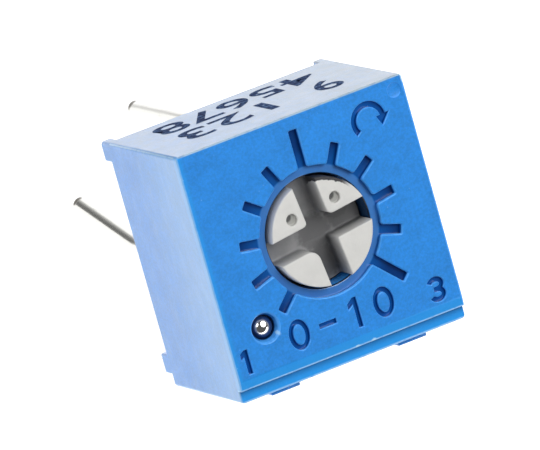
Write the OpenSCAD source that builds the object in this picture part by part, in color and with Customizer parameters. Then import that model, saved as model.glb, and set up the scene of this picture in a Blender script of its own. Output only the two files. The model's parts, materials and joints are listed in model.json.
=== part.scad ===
// Trimmer potentiometer, quarter-inch square, sealed, single turn, adjusted from the face.
// Millimetres. +Z points out of the dial face, +Y runs up the face, X to the right.
// The seating plane (the tips of the four feet) is Z = 0, and the origin lies on it,
// midway between leads 1 and 3.

/* [Body] */
// Width of the moulded body, across the face
body_w = 6.6; // [6.4:0.1:9]
// Height of the moulded body, up the face
body_h = 6.68; // [6.4:0.02:9]
// Depth of the moulded body, from its back rim to its face
body_d = 4.25; // [4:0.05:6]
// Centre of the body above the line through leads 1 and 3
body_y = -0.07; // [-0.1:0.01:0.1]
// Thickness of the four side walls
wall = 0.48; // [0.3:0.02:0.5]
// Thickness of the wall that carries the dial
face_t = 0.85; // [0.6:0.05:1.2]
// Radius on the four long outer edges
edge_r = 0.1; // [0.04:0.02:0.3]
// Radius in the corners of the back pocket
pocket_r = 0.3; // [0.1:0.05:0.6]
// Side of the corner posts that the ceramic plate seats on
post = 0.8; // [0.5:0.05:0.85]

/* [Lower edge of the face] */
// Height of the lip along the bottom edge
lip_h = 0.34; // [0.16:0.02:0.5]
// Drop from the face to the front of the lip
lip_drop = 0.16; // [0.1:0.02:0.3]
// Height of the sloping band above the lip
slope_h = 0.26; // [0.1:0.02:0.4]
// Drop of the sloping band over its height
slope_drop = 0.03; // [0.02:0.01:0.09]

/* [Feet and pads] */
// Height of the four feet behind the back rim
foot_h = 0.38; // [0.2:0.02:0.8]
// Width of a foot
foot_w = 0.3; // [0.2:0.02:0.45]
// Length of a foot, along the left and right walls
foot_l = 0.52; // [0.3:0.02:0.8]
// Distance of the two lower feet from the bottom side
foot_lift = 0.35; // [0:0.05:0.8]
// Width of the two pads under the bottom side
pad_w = 0.84; // [0.4:0.02:1]
// Distance between the centres of the two pads
pad_pitch = 3.74; // [2.5:0.02:4.5]
// Height of the pads under the bottom side
pad_h = 0.18; // [0.1:0.02:0.4]
// Distance of the pads behind the face
pad_setback = 0.55; // [0.3:0.05:1.5]

/* [Dial] */
// Centre of the dial above the centre of the body
dial_y = 0.2; // [0:0.02:0.26]
// Radius of the sunk ring round the rotor
recess_r = 1.7; // [1.6:0.02:1.9]
// Depth of the sunk ring and of the marks
recess_d = 0.16; // [0.05:0.01:0.2]
// Number of marks round the dial
tick_count = 11; // [3:2:15]
// Width of a mark
tick_w = 0.24; // [0.12:0.02:0.3]
// Radius that the short marks reach
tick_r = 2.28; // [2.1:0.02:2.5]
// Radius that the middle mark and the last mark reach
long_tick_r = 2.73; // [2.4:0.02:2.8]
// Radius where a mark runs into the sunk ring
tick_fillet = 0.08; // [0.02:0.01:0.12]

/* [Rotor] */
// Radius of the rotor's hub
hub_r = 1.42; // [1.1:0.01:1.5]
// Running clearance round the hub and over the seal
run_gap = 0.05; // [0.02:0.01:0.08]
// Height of the rotor above the face
rotor_proud = 0.12; // [0:0.02:0.4]
// Width of the cross slot
slot_w = 0.64; // [0.4:0.02:0.8]
// Depth of the cross slot
slot_d = 0.76; // [0.4:0.02:0.9]
// Corner radii of the four quadrants, anticlockwise from the upper right
slot_corners = [0.16, 0.12, 0.3, 0.05];
// Radius of the two dimples
dimple_r = 0.15; // [0.08:0.01:0.2]
// Depth of the two dimples
dimple_d = 0.1; // [0.05:0.01:0.2]
// Distance of the dimples from the axis
dimple_at = 0.93; // [0.8:0.01:1]
// Chamfer round the top of the hub
hub_chamfer = 0.03; // [0.01:0.01:0.08]
// Width of the flange beyond the seal ring
flange_rim = 0.12; // [0.06:0.01:0.15]
// Thickness of the flange
flange_t = 0.45; // [0.3:0.05:0.6]
// Room between the flange and the face wall
flange_gap = 0.38; // [0.3:0.02:0.44]
// Turn of the rotor from stop to stop, in degrees
travel = 270; // [240:5:290]
// Where the rotor is set, in degrees anticlockwise from the middle
rest_angle = 7; // [-90:1:90]
// Reach of the stop lug beyond the flange
lug_reach = 0.35; // [0.2:0.05:0.4]
// Angle that the stop lug takes up, in degrees
lug_angle = 40; // [20:2:50]
// Angle left between lug and stop at the end of the turn, in degrees
stop_gap = 0.5; // [0.25:0.25:2]
// Clearance of the stop round the flange and over the wiper
stop_clear = 0.07; // [0.04:0.01:0.1]

/* [Seal] */
// Diameter of the seal ring's cord
seal_cord = 0.5; // [0.4:0.02:0.54]
// How far the flange and the wall flatten the cord
seal_squeeze = 0.04; // [0.02:0.01:0.08]

/* [Wiper] */
// Thickness of the spring sheet
sheet = 0.08; // [0.05:0.01:0.1]
// Room between the flange and the ceramic plate
wiper_room = 0.45; // [0.4:0.01:0.6]
// Slope of the fingers, in degrees
finger_slope = 20; // [16:1:28]
// Width of a finger
finger_w = 0.11; // [0.06:0.01:0.13]
// Outer radius of a finger's rounded end
finger_end_r = 0.14; // [0.12:0.01:0.18]
// Gap between the fingers' ends and the films they run on
contact_gap = 0.02; // [0.01:0.005:0.03]
// Radius of the wiper's round plate
wiper_r = 1.2; // [1.1:0.05:1.3]
// Radius of the stake pegs that hold the wiper
peg_r = 0.16; // [0.1:0.01:0.2]
// Distance of the stake pegs from the axis
peg_at = 0.78; // [0.7:0.01:0.85]
// Angle of the stake pegs to either side of the fingers' heels, in degrees
peg_angle = 56; // [52:1:64]
// How far a peg's head is spread beyond the peg
peg_spread = 0.08; // [0.04:0.01:0.1]
// Spacing of the fingers on the track
finger_pitch = 0.15; // [0.13:0.01:0.16]
// Width of the tongue that carries the outer fingers
tongue_w = 0.34; // [0.25:0.01:0.4]
// Width of the window that the inner fingers are bent out of
window_w = 0.44; // [0.4:0.02:0.5]

/* [Element] */
// Thickness of the ceramic plate
plate_t = 0.6; // [0.4:0.05:0.7]
// Clearance between the ceramic plate and the pocket
plate_gap = 0.02; // [0.01:0.01:0.06]
// Thickness of the printed films
film = 0.04; // [0.02:0.01:0.06]
// Width of the resistive track
track_w = 0.5; // [0.45:0.01:0.6]
// Distance of the track's outer edge from the notches of leads 1 and 3
track_margin = 0.37; // [0.35:0.01:0.42]
// Radius of the collector in the middle
collector_r = 0.6; // [0.4:0.05:0.8]
// Radius of the plated hole under the collector
via_r = 0.2; // [0.1:0.05:0.3]
// Width of the conductors that run to the leads
conductor_w = 0.34; // [0.2:0.02:0.4]
// Gap between the track and a conductor that runs round it
conductor_gap = 0.1; // [0.08:0.01:0.14]
// Width of the ring of film round the plated hole, behind the plate
via_ring = 0.15; // [0.08:0.01:0.2]
// Travel of the wiper left on the track at its ends, in degrees
track_spare = 2; // [1:0.5:4]
// Angle that a contact at the end of the track takes up, in degrees
end_angle = 15; // [8:1:20]

/* [Leads] */
// Distance from the middle to leads 1 and 3, and from their line to lead 2
lead_pitch = 2.54; // [2.3:0.02:2.54]
// Diameter of a lead
lead_d = 0.42; // [0.3:0.02:0.46]
// Side of the squared upper end of a lead, inside the body
lead_square = 0.38; // [0.2:0.02:0.4]
// Width of a lead's notch in the ceramic plate beyond the lead's own
notch_room = 0.06; // [0.04:0.01:0.1]
// Length of the leads below the seating plane
lead_reach = 5.31; // [4:0.05:12]
// Height of the leads' ends above the ceramic plate
lead_stub = 0.2; // [0.1:0.05:0.25]
// Chamfer round the tip of a lead
lead_chamfer = 0.05; // [0.02:0.01:0.1]
// Depth below the back rim at which the bend in lead 1 starts
bend_at = 1.3; // [0.8:0.05:2]
// Radius of the bend along the middle of lead 1
bend_r = 3; // [1:0.1:14]
// Lean of lead 1 below its bend, in degrees
bend_lean = 11.2; // [1:0.1:16]
// How much shorter lead 1 is cut than the other two
bend_cut = 0.25; // [0:0.05:0.5]
// Direction in which lead 1 leans, in degrees from +X
bend_way = 76; // [0:1:360]

/* [Vent] */
// Distance of the vent hole to the left of the middle
vent_x = 2.185; // [2:0.005:2.3]
// Distance of the vent hole below the centre of the body
vent_y = 1.64; // [1.4:0.02:1.7]
// Radius of the ball that closes the vent hole
ball_r = 0.32; // [0.15:0.01:0.34]
// Radius of the countersink at the face
sink_r = 0.42; // [0.34:0.02:0.5]
// Depth of the countersink
sink_d = 0.16; // [0.1:0.02:0.3]
// Depth of the ball's top below the face
ball_sunk = 0.04; // [0:0.01:0.2]

/* [Potting] */
// Distance of the resin's surface inside the back rim
pot_sunk = 0.12; // [0:0.02:0.14]
// Radius of a solder joint at its foot
solder_r = 0.42; // [0.3:0.02:0.46]
// Height of a solder joint
solder_h = 0.18; // [0.1:0.02:0.2]
// Thickness of a solder joint at its top, round the corners of the lead
solder_lip = 0.04; // [0.02:0.01:0.06]

/* [Hidden] */
$fn = 96;
// a small overrun, so that a cut never ends exactly on the face it opens
cut = 0.5;
// how far two shapes of one piece run into each other where they join
bite = 0.04;
// a step too small to see, where a curve runs on into a straight
hair = 0.002;

// heights, from the seating plane up
back_z = foot_h;
face_z = back_z + body_d;
inner_z = face_z - face_t;
recess_z = face_z - recess_d;
flange_top = inner_z - flange_gap;
flange_z = flange_top - flange_t;
seal_h = seal_cord - seal_squeeze;
seal_seat_z = flange_top + seal_h + run_gap;
plate_top = flange_z - wiper_room;
plate_z = plate_top - plate_t;
film_top = plate_top + film;
film_back = plate_z - film;
pot_z = back_z + pot_sunk;
rotor_top = face_z + rotor_proud;
ball_z = face_z - ball_sunk - ball_r;

// places and radii that several pieces share
dial_at = [0, body_y + dial_y];
bore_r = hub_r + run_gap;
seal_in = hub_r + run_gap / 5;
seal_out = seal_in + seal_cord;
seal_seat_r = seal_out + run_gap;
flange_r = seal_out + flange_rim;
lug_r = flange_r + lug_reach;
stop_in = flange_r + stop_clear;
tick_step = travel / (tick_count - 1);
tick_mid = (tick_count - 1) / 2;
pocket_w = body_w - 2 * wall;
pocket_h = body_h - 2 * wall;
lead_r = lead_d / 2;
notch_w = lead_square + notch_room;
solder_top_r = lead_square / sqrt(2) + solder_lip;
lead_spots = [[-lead_pitch, 0], [0, lead_pitch], [lead_pitch, 0]];
track_out = lead_pitch - notch_w / 2 - track_margin;
track_in = track_out - track_w;
track_mid = track_out - track_w / 2;
track_half = travel / 2 + track_spare;
end_half = track_half + end_angle;
rail_in = track_out + conductor_gap;
rail_out = rail_in + conductor_w;

// a flat rectangle with round corners, on true arcs
module rounded_rect(w, h, r) {
    square([w - 2 * r, h], center = true);
    square([w, h - 2 * r], center = true);
    for (x = [-1, 1], y = [-1, 1])
        translate([x * (w / 2 - r), y * (h / 2 - r)]) circle(r);
}

// a flat wedge of a ring about the dial's axis, from the angle a to the angle b,
// both in degrees clockwise from the top
module ring_part(r_in, r_out, a, b) {
    far = r_out / cos((b - a) / 4);
    difference() {
        intersection() {
            circle(r_out);
            polygon([[0, 0],
                for (i = [0:4]) let (t = a + (b - a) * i / 4) far * [sin(t), cos(t)]]);
        }
        circle(r_in);
    }
}

module on_dial(z) {
    translate([dial_at.x, dial_at.y, z]) children();
}

module on_body(z) {
    translate([0, body_y, z]) children();
}

// ---- housing ----

// the body seen from its right side, with the sloping band and the lip at its lower front
module side_profile() {
    low = -body_h / 2;
    polygon([[low, back_z], [low, face_z - lip_drop], [low + lip_h, face_z - lip_drop],
        [low + lip_h, face_z - slope_drop], [low + lip_h + slope_h, face_z],
        [body_h / 2, face_z], [body_h / 2, back_z]]);
}

module body_block() {
    intersection() {
        translate([-body_w / 2, body_y, 0]) rotate([90, 0, 90])
            linear_extrude(body_w) side_profile();
        on_body(0) linear_extrude(face_z) rounded_rect(body_w, body_h, edge_r);
    }
}

// the two upper feet end flush with the top side, the two lower ones stand above the bottom
module feet() {
    for (side = [-1, 1], low = [-body_h / 2 + foot_lift, body_h / 2 - foot_l])
        intersection() {
            on_body(0) translate([side > 0 ? body_w / 2 - foot_w : -body_w / 2, low, 0])
                cube([foot_w, foot_l, back_z + wall]);
            on_body(0) linear_extrude(face_z) rounded_rect(body_w, body_h, edge_r);
        }
}

module bottom_pads() {
    for (side = [-1, 1])
        on_body(back_z) translate([side * pad_pitch / 2 - pad_w / 2, -body_h / 2 - pad_h, 0])
            cube([pad_w, pad_h + wall / 2, body_d - pad_setback]);
}

// one mark on the dial, pointing up, with the two round corners where it leaves the ring
module tick(reach) {
    translate([-tick_w / 2, bore_r]) square([tick_w, reach - bore_r]);
    corner_x = tick_w / 2 + tick_fillet;
    corner_y = sqrt(pow(recess_r + tick_fillet, 2) - pow(corner_x, 2));
    share = recess_r / (recess_r + tick_fillet);
    for (side = [0, 1]) mirror([side, 0]) difference() {
        polygon([[0, bore_r], [0, corner_y], [corner_x, corner_y], share * [corner_x, corner_y]]);
        translate([corner_x, corner_y]) circle(tick_fillet, $fn = 32);
    }
}

module dial_recess() {
    circle(recess_r);
    for (i = [0:tick_count - 1])
        rotate((tick_mid - i) * tick_step)
            tick(i == tick_mid || i == tick_count - 1 ? long_tick_r : tick_r);
}

module vent_hole() {
    on_body(0) translate([-vent_x, -vent_y, 0]) {
        translate([0, 0, inner_z - cut]) cylinder(r = ball_r, h = face_t + cut);
        translate([0, 0, face_z - sink_d]) cylinder(r1 = ball_r, r2 = sink_r, h = sink_d);
        translate([0, 0, face_z]) cylinder(r = sink_r, h = cut);
    }
}

module corner_posts() {
    for (x = [-1, 1], y = [-1, 1])
        on_body(plate_top) translate([x * (pocket_w - post) / 2, y * (pocket_h - post) / 2, 0])
            linear_extrude(inner_z - plate_top + wall / 2)
                square(post + 2 * bite, center = true);
}

// the stop that the rotor's lug meets at both ends of its turn
module stop_rib() {
    half = 180 - travel / 2 - lug_angle / 2 - stop_gap;
    far = pocket_h;
    intersection() {
        on_dial(flange_z + stop_clear / 2) linear_extrude(inner_z - flange_z) difference() {
            polygon([[0, 0], far * [-sin(half), -cos(half)], far * [sin(half), -cos(half)]]);
            circle(stop_in);
        }
        on_body(0) linear_extrude(face_z)
            square([pocket_w + wall, pocket_h + wall], center = true);
    }
}

module housing() {
    color([0.15, 0.51, 0.86]) {
        difference() {
            union() {
                body_block();
                feet();
                bottom_pads();
            }
            on_body(-cut) linear_extrude(inner_z + cut)
                rounded_rect(pocket_w, pocket_h, pocket_r);
            on_dial(inner_z - cut) cylinder(r = seal_seat_r, h = seal_seat_z - inner_z + cut);
            on_dial(inner_z) cylinder(r = bore_r, h = face_t + cut);
            on_dial(recess_z) linear_extrude(recess_d + cut) dial_recess();
            vent_hole();
        }
        corner_posts();
        stop_rib();
    }
}

// ---- rotor and what turns with it ----

module turned() {
    on_dial(0) rotate(rest_angle) children();
}

// the cross, with the four quadrants' inner corners rounded
module cross_slot() {
    far = 2 * hub_r;
    square([slot_w, 2 * far], center = true);
    square([2 * far, slot_w], center = true);
    for (i = [0:3]) rotate(90 * i) translate([slot_w / 2, slot_w / 2]) difference() {
        translate([-bite, -bite]) square(slot_corners[i] + bite);
        translate([slot_corners[i], slot_corners[i]]) circle(slot_corners[i], $fn = 48);
    }
}

module rotor_turning() {
    rotate_extrude() polygon([[0, flange_z], [flange_r, flange_z], [flange_r, flange_top],
        [hub_r, flange_top], [hub_r, rotor_top - hub_chamfer],
        [hub_r - hub_chamfer, rotor_top], [0, rotor_top]]);
}

// the pegs go through the wiper's plate and are spread under it
module stake_pegs() {
    for (side = [-1, 1]) rotate(side * peg_angle) translate([peg_at, 0, flange_z]) {
        translate([0, 0, -sheet]) cylinder(r = peg_r, h = sheet + bite);
        translate([0, 0, -2 * sheet]) cylinder(r1 = peg_r, r2 = peg_r + peg_spread, h = sheet);
    }
}

module rotor() {
    color([0.87, 0.87, 0.85]) turned() {
        difference() {
            union() {
                rotor_turning();
                translate([0, 0, flange_z]) linear_extrude(flange_t)
                    ring_part(hub_r, lug_r, -lug_angle / 2, lug_angle / 2);
            }
            translate([0, 0, rotor_top - slot_d]) linear_extrude(slot_d + cut) cross_slot();
            for (a = [45, 135]) rotate(a) translate([dimple_at, 0, rotor_top - dimple_d])
                cylinder(r = dimple_r, h = dimple_d + cut);
        }
        stake_pegs();
    }
}

module seal_ring() {
    color([0.2, 0.2, 0.21]) on_dial(flange_top + seal_h / 2)
        rotate_extrude() translate([seal_in + seal_cord / 2, 0]) intersection() {
            circle(seal_cord / 2);
            square([seal_cord, seal_h], center = true);
        }
}

// points on an arc about c, from the angle a to the angle b
function arc(c, r, a, b) = [for (i = [0:8]) let (t = a + (b - a) * i / 8) c + r * [cos(t), sin(t)]];

// one spring finger seen from its side: a sloping strip with a rounded end at x = 0
module finger_profile() {
    bent = [0, film_top + contact_gap + finger_end_r];
    root = finger_root();
    start = 270 - finger_slope;
    inner_r = finger_end_r - sheet;
    top_run = (flange_z - bent.y + inner_r * cos(finger_slope)) / tan(finger_slope);
    polygon(concat(
        [[-inner_r * sin(finger_slope) - top_run, flange_z], [root - bite, flange_z],
            [root - bite, flange_z - sheet], [root, flange_z - sheet]],
        arc(bent, finger_end_r, start, start + 90),
        arc(bent, inner_r, start + 90, start)));
}

// where a finger leaves the flat plate, left of its rounded end
function finger_root() = let (end_z = film_top + contact_gap + finger_end_r)
    -finger_end_r * sin(finger_slope)
    - (flange_z - sheet - end_z + finger_end_r * cos(finger_slope)) / tan(finger_slope);

// the contacts: three fingers on the track and two on the collector
module fingers() {
    inner = (window_w / 2 - finger_w / 2) * 2 / 3;
    spots = [track_mid - finger_pitch, track_mid, track_mid + finger_pitch, -inner, inner];
    for (y = spots) translate([0, y + finger_w / 2, 0]) rotate([90, 0, 0])
        linear_extrude(finger_w) finger_profile();
}

// the flat plate, with the tongue behind the outer fingers and the window of the inner ones
module wiper_plate() {
    root = finger_root();
    difference() {
        union() {
            circle(wiper_r);
            intersection() {
                translate([root - tongue_w, 0]) square([tongue_w, track_out]);
                circle(norm([root, track_out]));
            }
        }
        translate([root, -window_w / 2]) square([finger_end_r + window_w / 2 - root, window_w]);
        for (side = [-1, 1]) rotate(side * peg_angle) translate([peg_at, 0])
            circle(peg_r + hair);
    }
}

module wiper() {
    color([0.80, 0.66, 0.38]) turned() {
        translate([0, 0, flange_z - sheet]) linear_extrude(sheet) wiper_plate();
        fingers();
    }
}

// ---- element ----

// the open slot that a lead's squared end takes in the plate's edge and in a film
module notch(spot) {
    way = spot / norm(spot);
    translate(spot) rotate(atan2(way.y, way.x)) translate([-notch_w / 2, -notch_w / 2])
        square([body_w, notch_w]);
}

// what the pocket leaves free for the plate and for what lies on it
module plate_outline() {
    translate([0, body_y]) rounded_rect(pocket_w - 2 * plate_gap, pocket_h - 2 * plate_gap,
        pocket_r);
}

module substrate() {
    color([0.93, 0.92, 0.88]) translate([0, 0, plate_z]) linear_extrude(plate_t) difference() {
        plate_outline();
        for (spot = lead_spots) notch(spot);
        translate(dial_at) circle(via_r);
    }
}

module resistor_track() {
    color([0.18, 0.16, 0.15]) on_dial(plate_top) linear_extrude(film)
        ring_part(track_in, track_out, -track_half, track_half);
}

// an end of the track and the conductor that runs from it round to its lead
module end_pad(side) {
    spot = [side * lead_pitch, 0];
    lead_angle = atan2(spot.x, spot.y - dial_at.y);
    color([0.80, 0.80, 0.78]) translate([0, 0, plate_top]) linear_extrude(film) difference() {
        intersection() {
            union() {
                translate(dial_at) ring_part(track_in, rail_out,
                    side > 0 ? track_half : -end_half, side > 0 ? end_half : -track_half);
                translate(dial_at) ring_part(rail_in, rail_out,
                    side > 0 ? lead_angle : -end_half, side > 0 ? end_half : lead_angle);
                translate(spot) circle(solder_r);
            }
            plate_outline();
        }
        notch(spot);
    }
}

// the middle contact, its plated hole and the conductor behind the plate to lead 2
module collector() {
    color([0.80, 0.80, 0.78]) {
        on_dial(film_back) cylinder(r = via_r, h = film_top - film_back);
        on_dial(plate_top) cylinder(r = collector_r, h = film);
        translate([0, 0, film_back]) linear_extrude(film) difference() {
            union() {
                translate(dial_at) circle(via_r + via_ring);
                translate([-conductor_w / 2, dial_at.y])
                    square([conductor_w, lead_pitch - dial_at.y]);
                intersection() {
                    translate(lead_spots[1]) circle(solder_r);
                    plate_outline();
                }
            }
            notch(lead_spots[1]);
        }
    }
}

// ---- leads, solder and resin ----

// the squared end that passes through the resin and the plate's notch
module lead_top(top) {
    translate([0, 0, pot_z]) linear_extrude(top - pot_z) square(lead_square, center = true);
}

// the round wire outside the body, straight down to the tip
module straight_wire() {
    translate([0, 0, lead_chamfer - lead_reach]) cylinder(r = lead_r,
        h = pot_z + lead_reach - lead_chamfer);
    translate([0, 0, -lead_reach]) cylinder(r1 = lead_r - lead_chamfer, r2 = lead_r,
        h = lead_chamfer);
}

// the round wire of lead 1, which leaves straight and then curves over; its straight end
// is a hair thinner, so that the curve ends on a clean edge
module bent_wire() {
    knee_z = back_z - bend_at;
    end = [bend_r * (1 - cos(bend_lean)), 0, knee_z - bend_r * sin(bend_lean)];
    run = lead_reach + knee_z - PI / 180 * bend_r * bend_lean - bend_cut;
    end_r = lead_r - hair;
    translate([0, 0, knee_z]) cylinder(r = lead_r, h = pot_z - knee_z);
    translate([bend_r, 0, knee_z]) rotate([90, 0, 0]) rotate([0, 0, 180])
        rotate_extrude(angle = bend_lean) translate([bend_r, 0]) circle(lead_r);
    translate(end) rotate([0, 180 - bend_lean, 0]) {
        cylinder(r = end_r, h = run - lead_chamfer);
        translate([0, 0, run - lead_chamfer]) cylinder(r1 = end_r, r2 = end_r - lead_chamfer,
            h = lead_chamfer);
    }
}

module lead_1() {
    color([0.82, 0.82, 0.83]) translate(lead_spots[0]) {
        lead_top(plate_top + lead_stub);
        rotate(bend_way) bent_wire();
    }
}

module lead_2() {
    color([0.82, 0.82, 0.83]) translate(lead_spots[1]) {
        lead_top(plate_top);
        straight_wire();
    }
}

module lead_3() {
    color([0.82, 0.82, 0.83]) translate(lead_spots[2]) {
        lead_top(plate_top + lead_stub);
        straight_wire();
    }
}

// a cone of solder round a lead, cut off where the pocket's wall is; it stands on the films
// of leads 1 and 3, and hangs from the film behind the plate at lead 2
module solder_cone(spot, foot_z, up) {
    intersection() {
        translate([spot.x, spot.y, foot_z]) mirror([0, 0, up ? 0 : 1]) difference() {
            cylinder(r1 = solder_r, r2 = solder_top_r, h = solder_h);
            translate([0, 0, -cut]) linear_extrude(solder_h + 2 * cut)
                square(lead_square, center = true);
        }
        linear_extrude(face_z) plate_outline();
    }
}

module solder_1() {
    color([0.72, 0.73, 0.75]) solder_cone(lead_spots[0], film_top, true);
}

module solder_2() {
    color([0.72, 0.73, 0.75]) solder_cone(lead_spots[1], film_back, false);
}

module solder_3() {
    color([0.72, 0.73, 0.75]) solder_cone(lead_spots[2], film_top, true);
}

module potting() {
    color([0.80, 0.72, 0.55]) difference() {
        on_body(pot_z) linear_extrude(plate_z - pot_z) rounded_rect(pocket_w, pocket_h, pocket_r);
        for (spot = lead_spots) translate([spot.x, spot.y, pot_z - cut])
            linear_extrude(plate_z - pot_z + 2 * cut) square(lead_square, center = true);
        collector();
        solder_2();
    }
}

module vent_ball() {
    color([0.85, 0.86, 0.87]) on_body(ball_z) translate([-vent_x, -vent_y, 0]) sphere(ball_r);
}

housing();
rotor();
seal_ring();
wiper();
substrate();
resistor_track();
end_pad(-1);  // end_pad_1
end_pad(1);  // end_pad_3
collector();
lead_1();
lead_2();
lead_3();
solder_1();
solder_2();
solder_3();
potting();
vent_ball();
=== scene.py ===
"""Finish of a quarter-inch trimmer potentiometer: its moulded shell, rotor, leads, resin and stage."""
import json
from math import asin, cos, degrees, pi, radians, sin, sqrt

import bpy
from bpy.props import FloatProperty, FloatVectorProperty, IntProperty, PointerProperty
from bpy.types import Operator, Panel, PropertyGroup
from mathutils import Matrix, Vector
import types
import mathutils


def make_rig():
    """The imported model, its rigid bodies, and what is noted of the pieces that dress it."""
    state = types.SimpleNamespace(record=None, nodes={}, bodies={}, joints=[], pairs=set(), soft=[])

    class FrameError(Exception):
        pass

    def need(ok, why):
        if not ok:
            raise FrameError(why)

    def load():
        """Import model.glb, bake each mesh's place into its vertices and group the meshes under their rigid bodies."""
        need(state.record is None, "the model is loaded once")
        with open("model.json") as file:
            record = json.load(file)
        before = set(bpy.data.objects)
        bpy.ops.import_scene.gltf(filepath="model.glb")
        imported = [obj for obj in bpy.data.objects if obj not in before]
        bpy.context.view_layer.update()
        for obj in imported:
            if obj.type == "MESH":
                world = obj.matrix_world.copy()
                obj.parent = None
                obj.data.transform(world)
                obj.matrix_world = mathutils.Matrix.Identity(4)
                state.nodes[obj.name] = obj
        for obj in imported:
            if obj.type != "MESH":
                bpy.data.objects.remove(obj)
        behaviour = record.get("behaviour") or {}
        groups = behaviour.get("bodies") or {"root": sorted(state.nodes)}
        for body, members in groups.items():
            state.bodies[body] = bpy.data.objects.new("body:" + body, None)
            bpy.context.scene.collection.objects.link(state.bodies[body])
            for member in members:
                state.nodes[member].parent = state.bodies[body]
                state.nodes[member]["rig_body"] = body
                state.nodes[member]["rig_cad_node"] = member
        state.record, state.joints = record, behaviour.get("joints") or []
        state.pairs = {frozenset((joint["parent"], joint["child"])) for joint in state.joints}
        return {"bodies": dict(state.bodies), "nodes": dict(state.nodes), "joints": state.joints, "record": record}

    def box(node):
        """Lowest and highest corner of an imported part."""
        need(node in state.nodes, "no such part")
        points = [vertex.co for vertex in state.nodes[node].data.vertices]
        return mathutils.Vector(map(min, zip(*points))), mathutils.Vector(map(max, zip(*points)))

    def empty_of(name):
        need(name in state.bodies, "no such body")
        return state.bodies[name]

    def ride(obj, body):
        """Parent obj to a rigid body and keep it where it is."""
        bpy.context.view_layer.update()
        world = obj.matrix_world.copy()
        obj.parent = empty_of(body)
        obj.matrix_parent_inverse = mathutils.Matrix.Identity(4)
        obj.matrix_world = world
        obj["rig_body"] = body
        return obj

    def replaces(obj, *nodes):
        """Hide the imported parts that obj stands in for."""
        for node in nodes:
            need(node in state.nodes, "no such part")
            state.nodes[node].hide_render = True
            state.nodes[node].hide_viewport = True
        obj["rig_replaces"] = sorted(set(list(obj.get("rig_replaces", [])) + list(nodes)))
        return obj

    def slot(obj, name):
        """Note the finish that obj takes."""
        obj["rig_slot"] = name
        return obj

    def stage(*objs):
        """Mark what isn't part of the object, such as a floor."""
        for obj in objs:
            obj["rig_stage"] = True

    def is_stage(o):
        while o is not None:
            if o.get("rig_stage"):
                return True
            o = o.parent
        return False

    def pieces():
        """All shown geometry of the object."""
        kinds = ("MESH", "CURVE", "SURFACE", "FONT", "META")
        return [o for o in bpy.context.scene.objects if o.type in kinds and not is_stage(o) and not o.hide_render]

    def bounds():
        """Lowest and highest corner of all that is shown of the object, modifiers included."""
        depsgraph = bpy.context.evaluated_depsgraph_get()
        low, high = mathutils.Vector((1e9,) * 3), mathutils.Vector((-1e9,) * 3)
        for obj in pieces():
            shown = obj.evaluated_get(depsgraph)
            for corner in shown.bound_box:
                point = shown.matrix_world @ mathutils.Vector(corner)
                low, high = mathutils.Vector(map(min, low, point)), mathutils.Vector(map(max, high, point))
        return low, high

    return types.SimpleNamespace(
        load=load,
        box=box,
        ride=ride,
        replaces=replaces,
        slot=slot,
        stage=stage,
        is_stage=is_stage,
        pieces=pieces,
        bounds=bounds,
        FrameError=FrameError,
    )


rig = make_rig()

bl_info = {
    "name": "Trimmer Potentiometer Finish",
    "version": (1, 0, 0),
    "blender": (4, 5, 0),
    "location": "3D View > Sidebar > Trimmer",
    "description": "Models the visible pieces of a trimmer potentiometer round its packed frame",
    "category": "Object",
}

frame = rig.load()
FRAME_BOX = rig.bounds()

MM = 0.001  # metres in a millimetre: pieces are modelled in millimetres and then made real size
HAIR = 0.001  # a step too small to see, in millimetres


def in_mm(box):
    """A box of the frame, in millimetres."""
    low, high = box
    return Vector(low) / MM, Vector(high) / MM


SHELL_LOW, SHELL_HIGH = in_mm(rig.box("housing"))
ROTOR_LOW, ROTOR_HIGH = in_mm(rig.box("rotor"))
PLATE_HIGH = in_mm(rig.box("substrate"))[1]
RESIN_LOW, RESIN_HIGH = in_mm(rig.box("potting"))
BALL_LOW, BALL_HIGH = in_mm(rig.box("vent_ball"))
VENT = (BALL_LOW + BALL_HIGH) / 2
DIAL = Vector(frame["joints"][0]["pos_m"]) / MM

BODY_W = SHELL_HIGH.x - SHELL_LOW.x
FACE_Z = SHELL_HIGH.z
TOP_Y = SHELL_HIGH.y
PAD_HEIGHT = 0.18
BOTTOM_Y = SHELL_LOW.y + PAD_HEIGHT
BODY_H = TOP_Y - BOTTOM_Y
MIDDLE_Y = (TOP_Y + BOTTOM_Y) / 2
CENTRE_Y = DIAL.y - 0.16  # the line that the figures on the face and the camera are placed from
POCKET_X, POCKET_Y = RESIN_HIGH.x, RESIN_HIGH.y - MIDDLE_Y  # half the pocket's width and height
FOOT_H, FOOT_WIDTH, FOOT_LENGTH, FOOT_LIFT, FOOT_ROOT = 0.38, 0.30, 0.52, 0.35, 0.48
PAD_WIDTH, PAD_PITCH, PAD_SETBACK, PAD_ROOT = 0.84, 3.74, 0.55, 0.24
LIP_HEIGHT, LIP_DROP, BAND_HEIGHT, BAND_DROP = 0.34, 0.16, 0.26, 0.03
LIP_Y, BAND_Y = BOTTOM_Y + LIP_HEIGHT, BOTTOM_Y + LIP_HEIGHT + BAND_HEIGHT
POCKET_CORNER, SEAT_RADIUS, SEAT_TOP = 0.30, 1.98, 3.91
POST, STOP_RADIUS, STOP_HALF, STOP_LOW = 0.80, 2.12, 24.5, 2.985
SINK_RADIUS, SINK_DEPTH, VENT_LIP = 0.42, 0.16, 0.03
MOULD_MARK_X, MOULD_MARK_Y, MOULD_MARK_RADIUS, MOULD_MARK_DEPTH = 2.99, 2.90, 0.19, 0.02
LAYER_SPARE = 0.3  # how far the layer that shapes the marks reaches below their floor
SEATED = 0.04  # how far two shapes of one piece run into each other
INK = 0.004  # half the thickness of the printing ink
FLANGE_RADIUS, FLANGE_LOW, FLANGE_HIGH = 2.05, 2.95, 3.40
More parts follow.
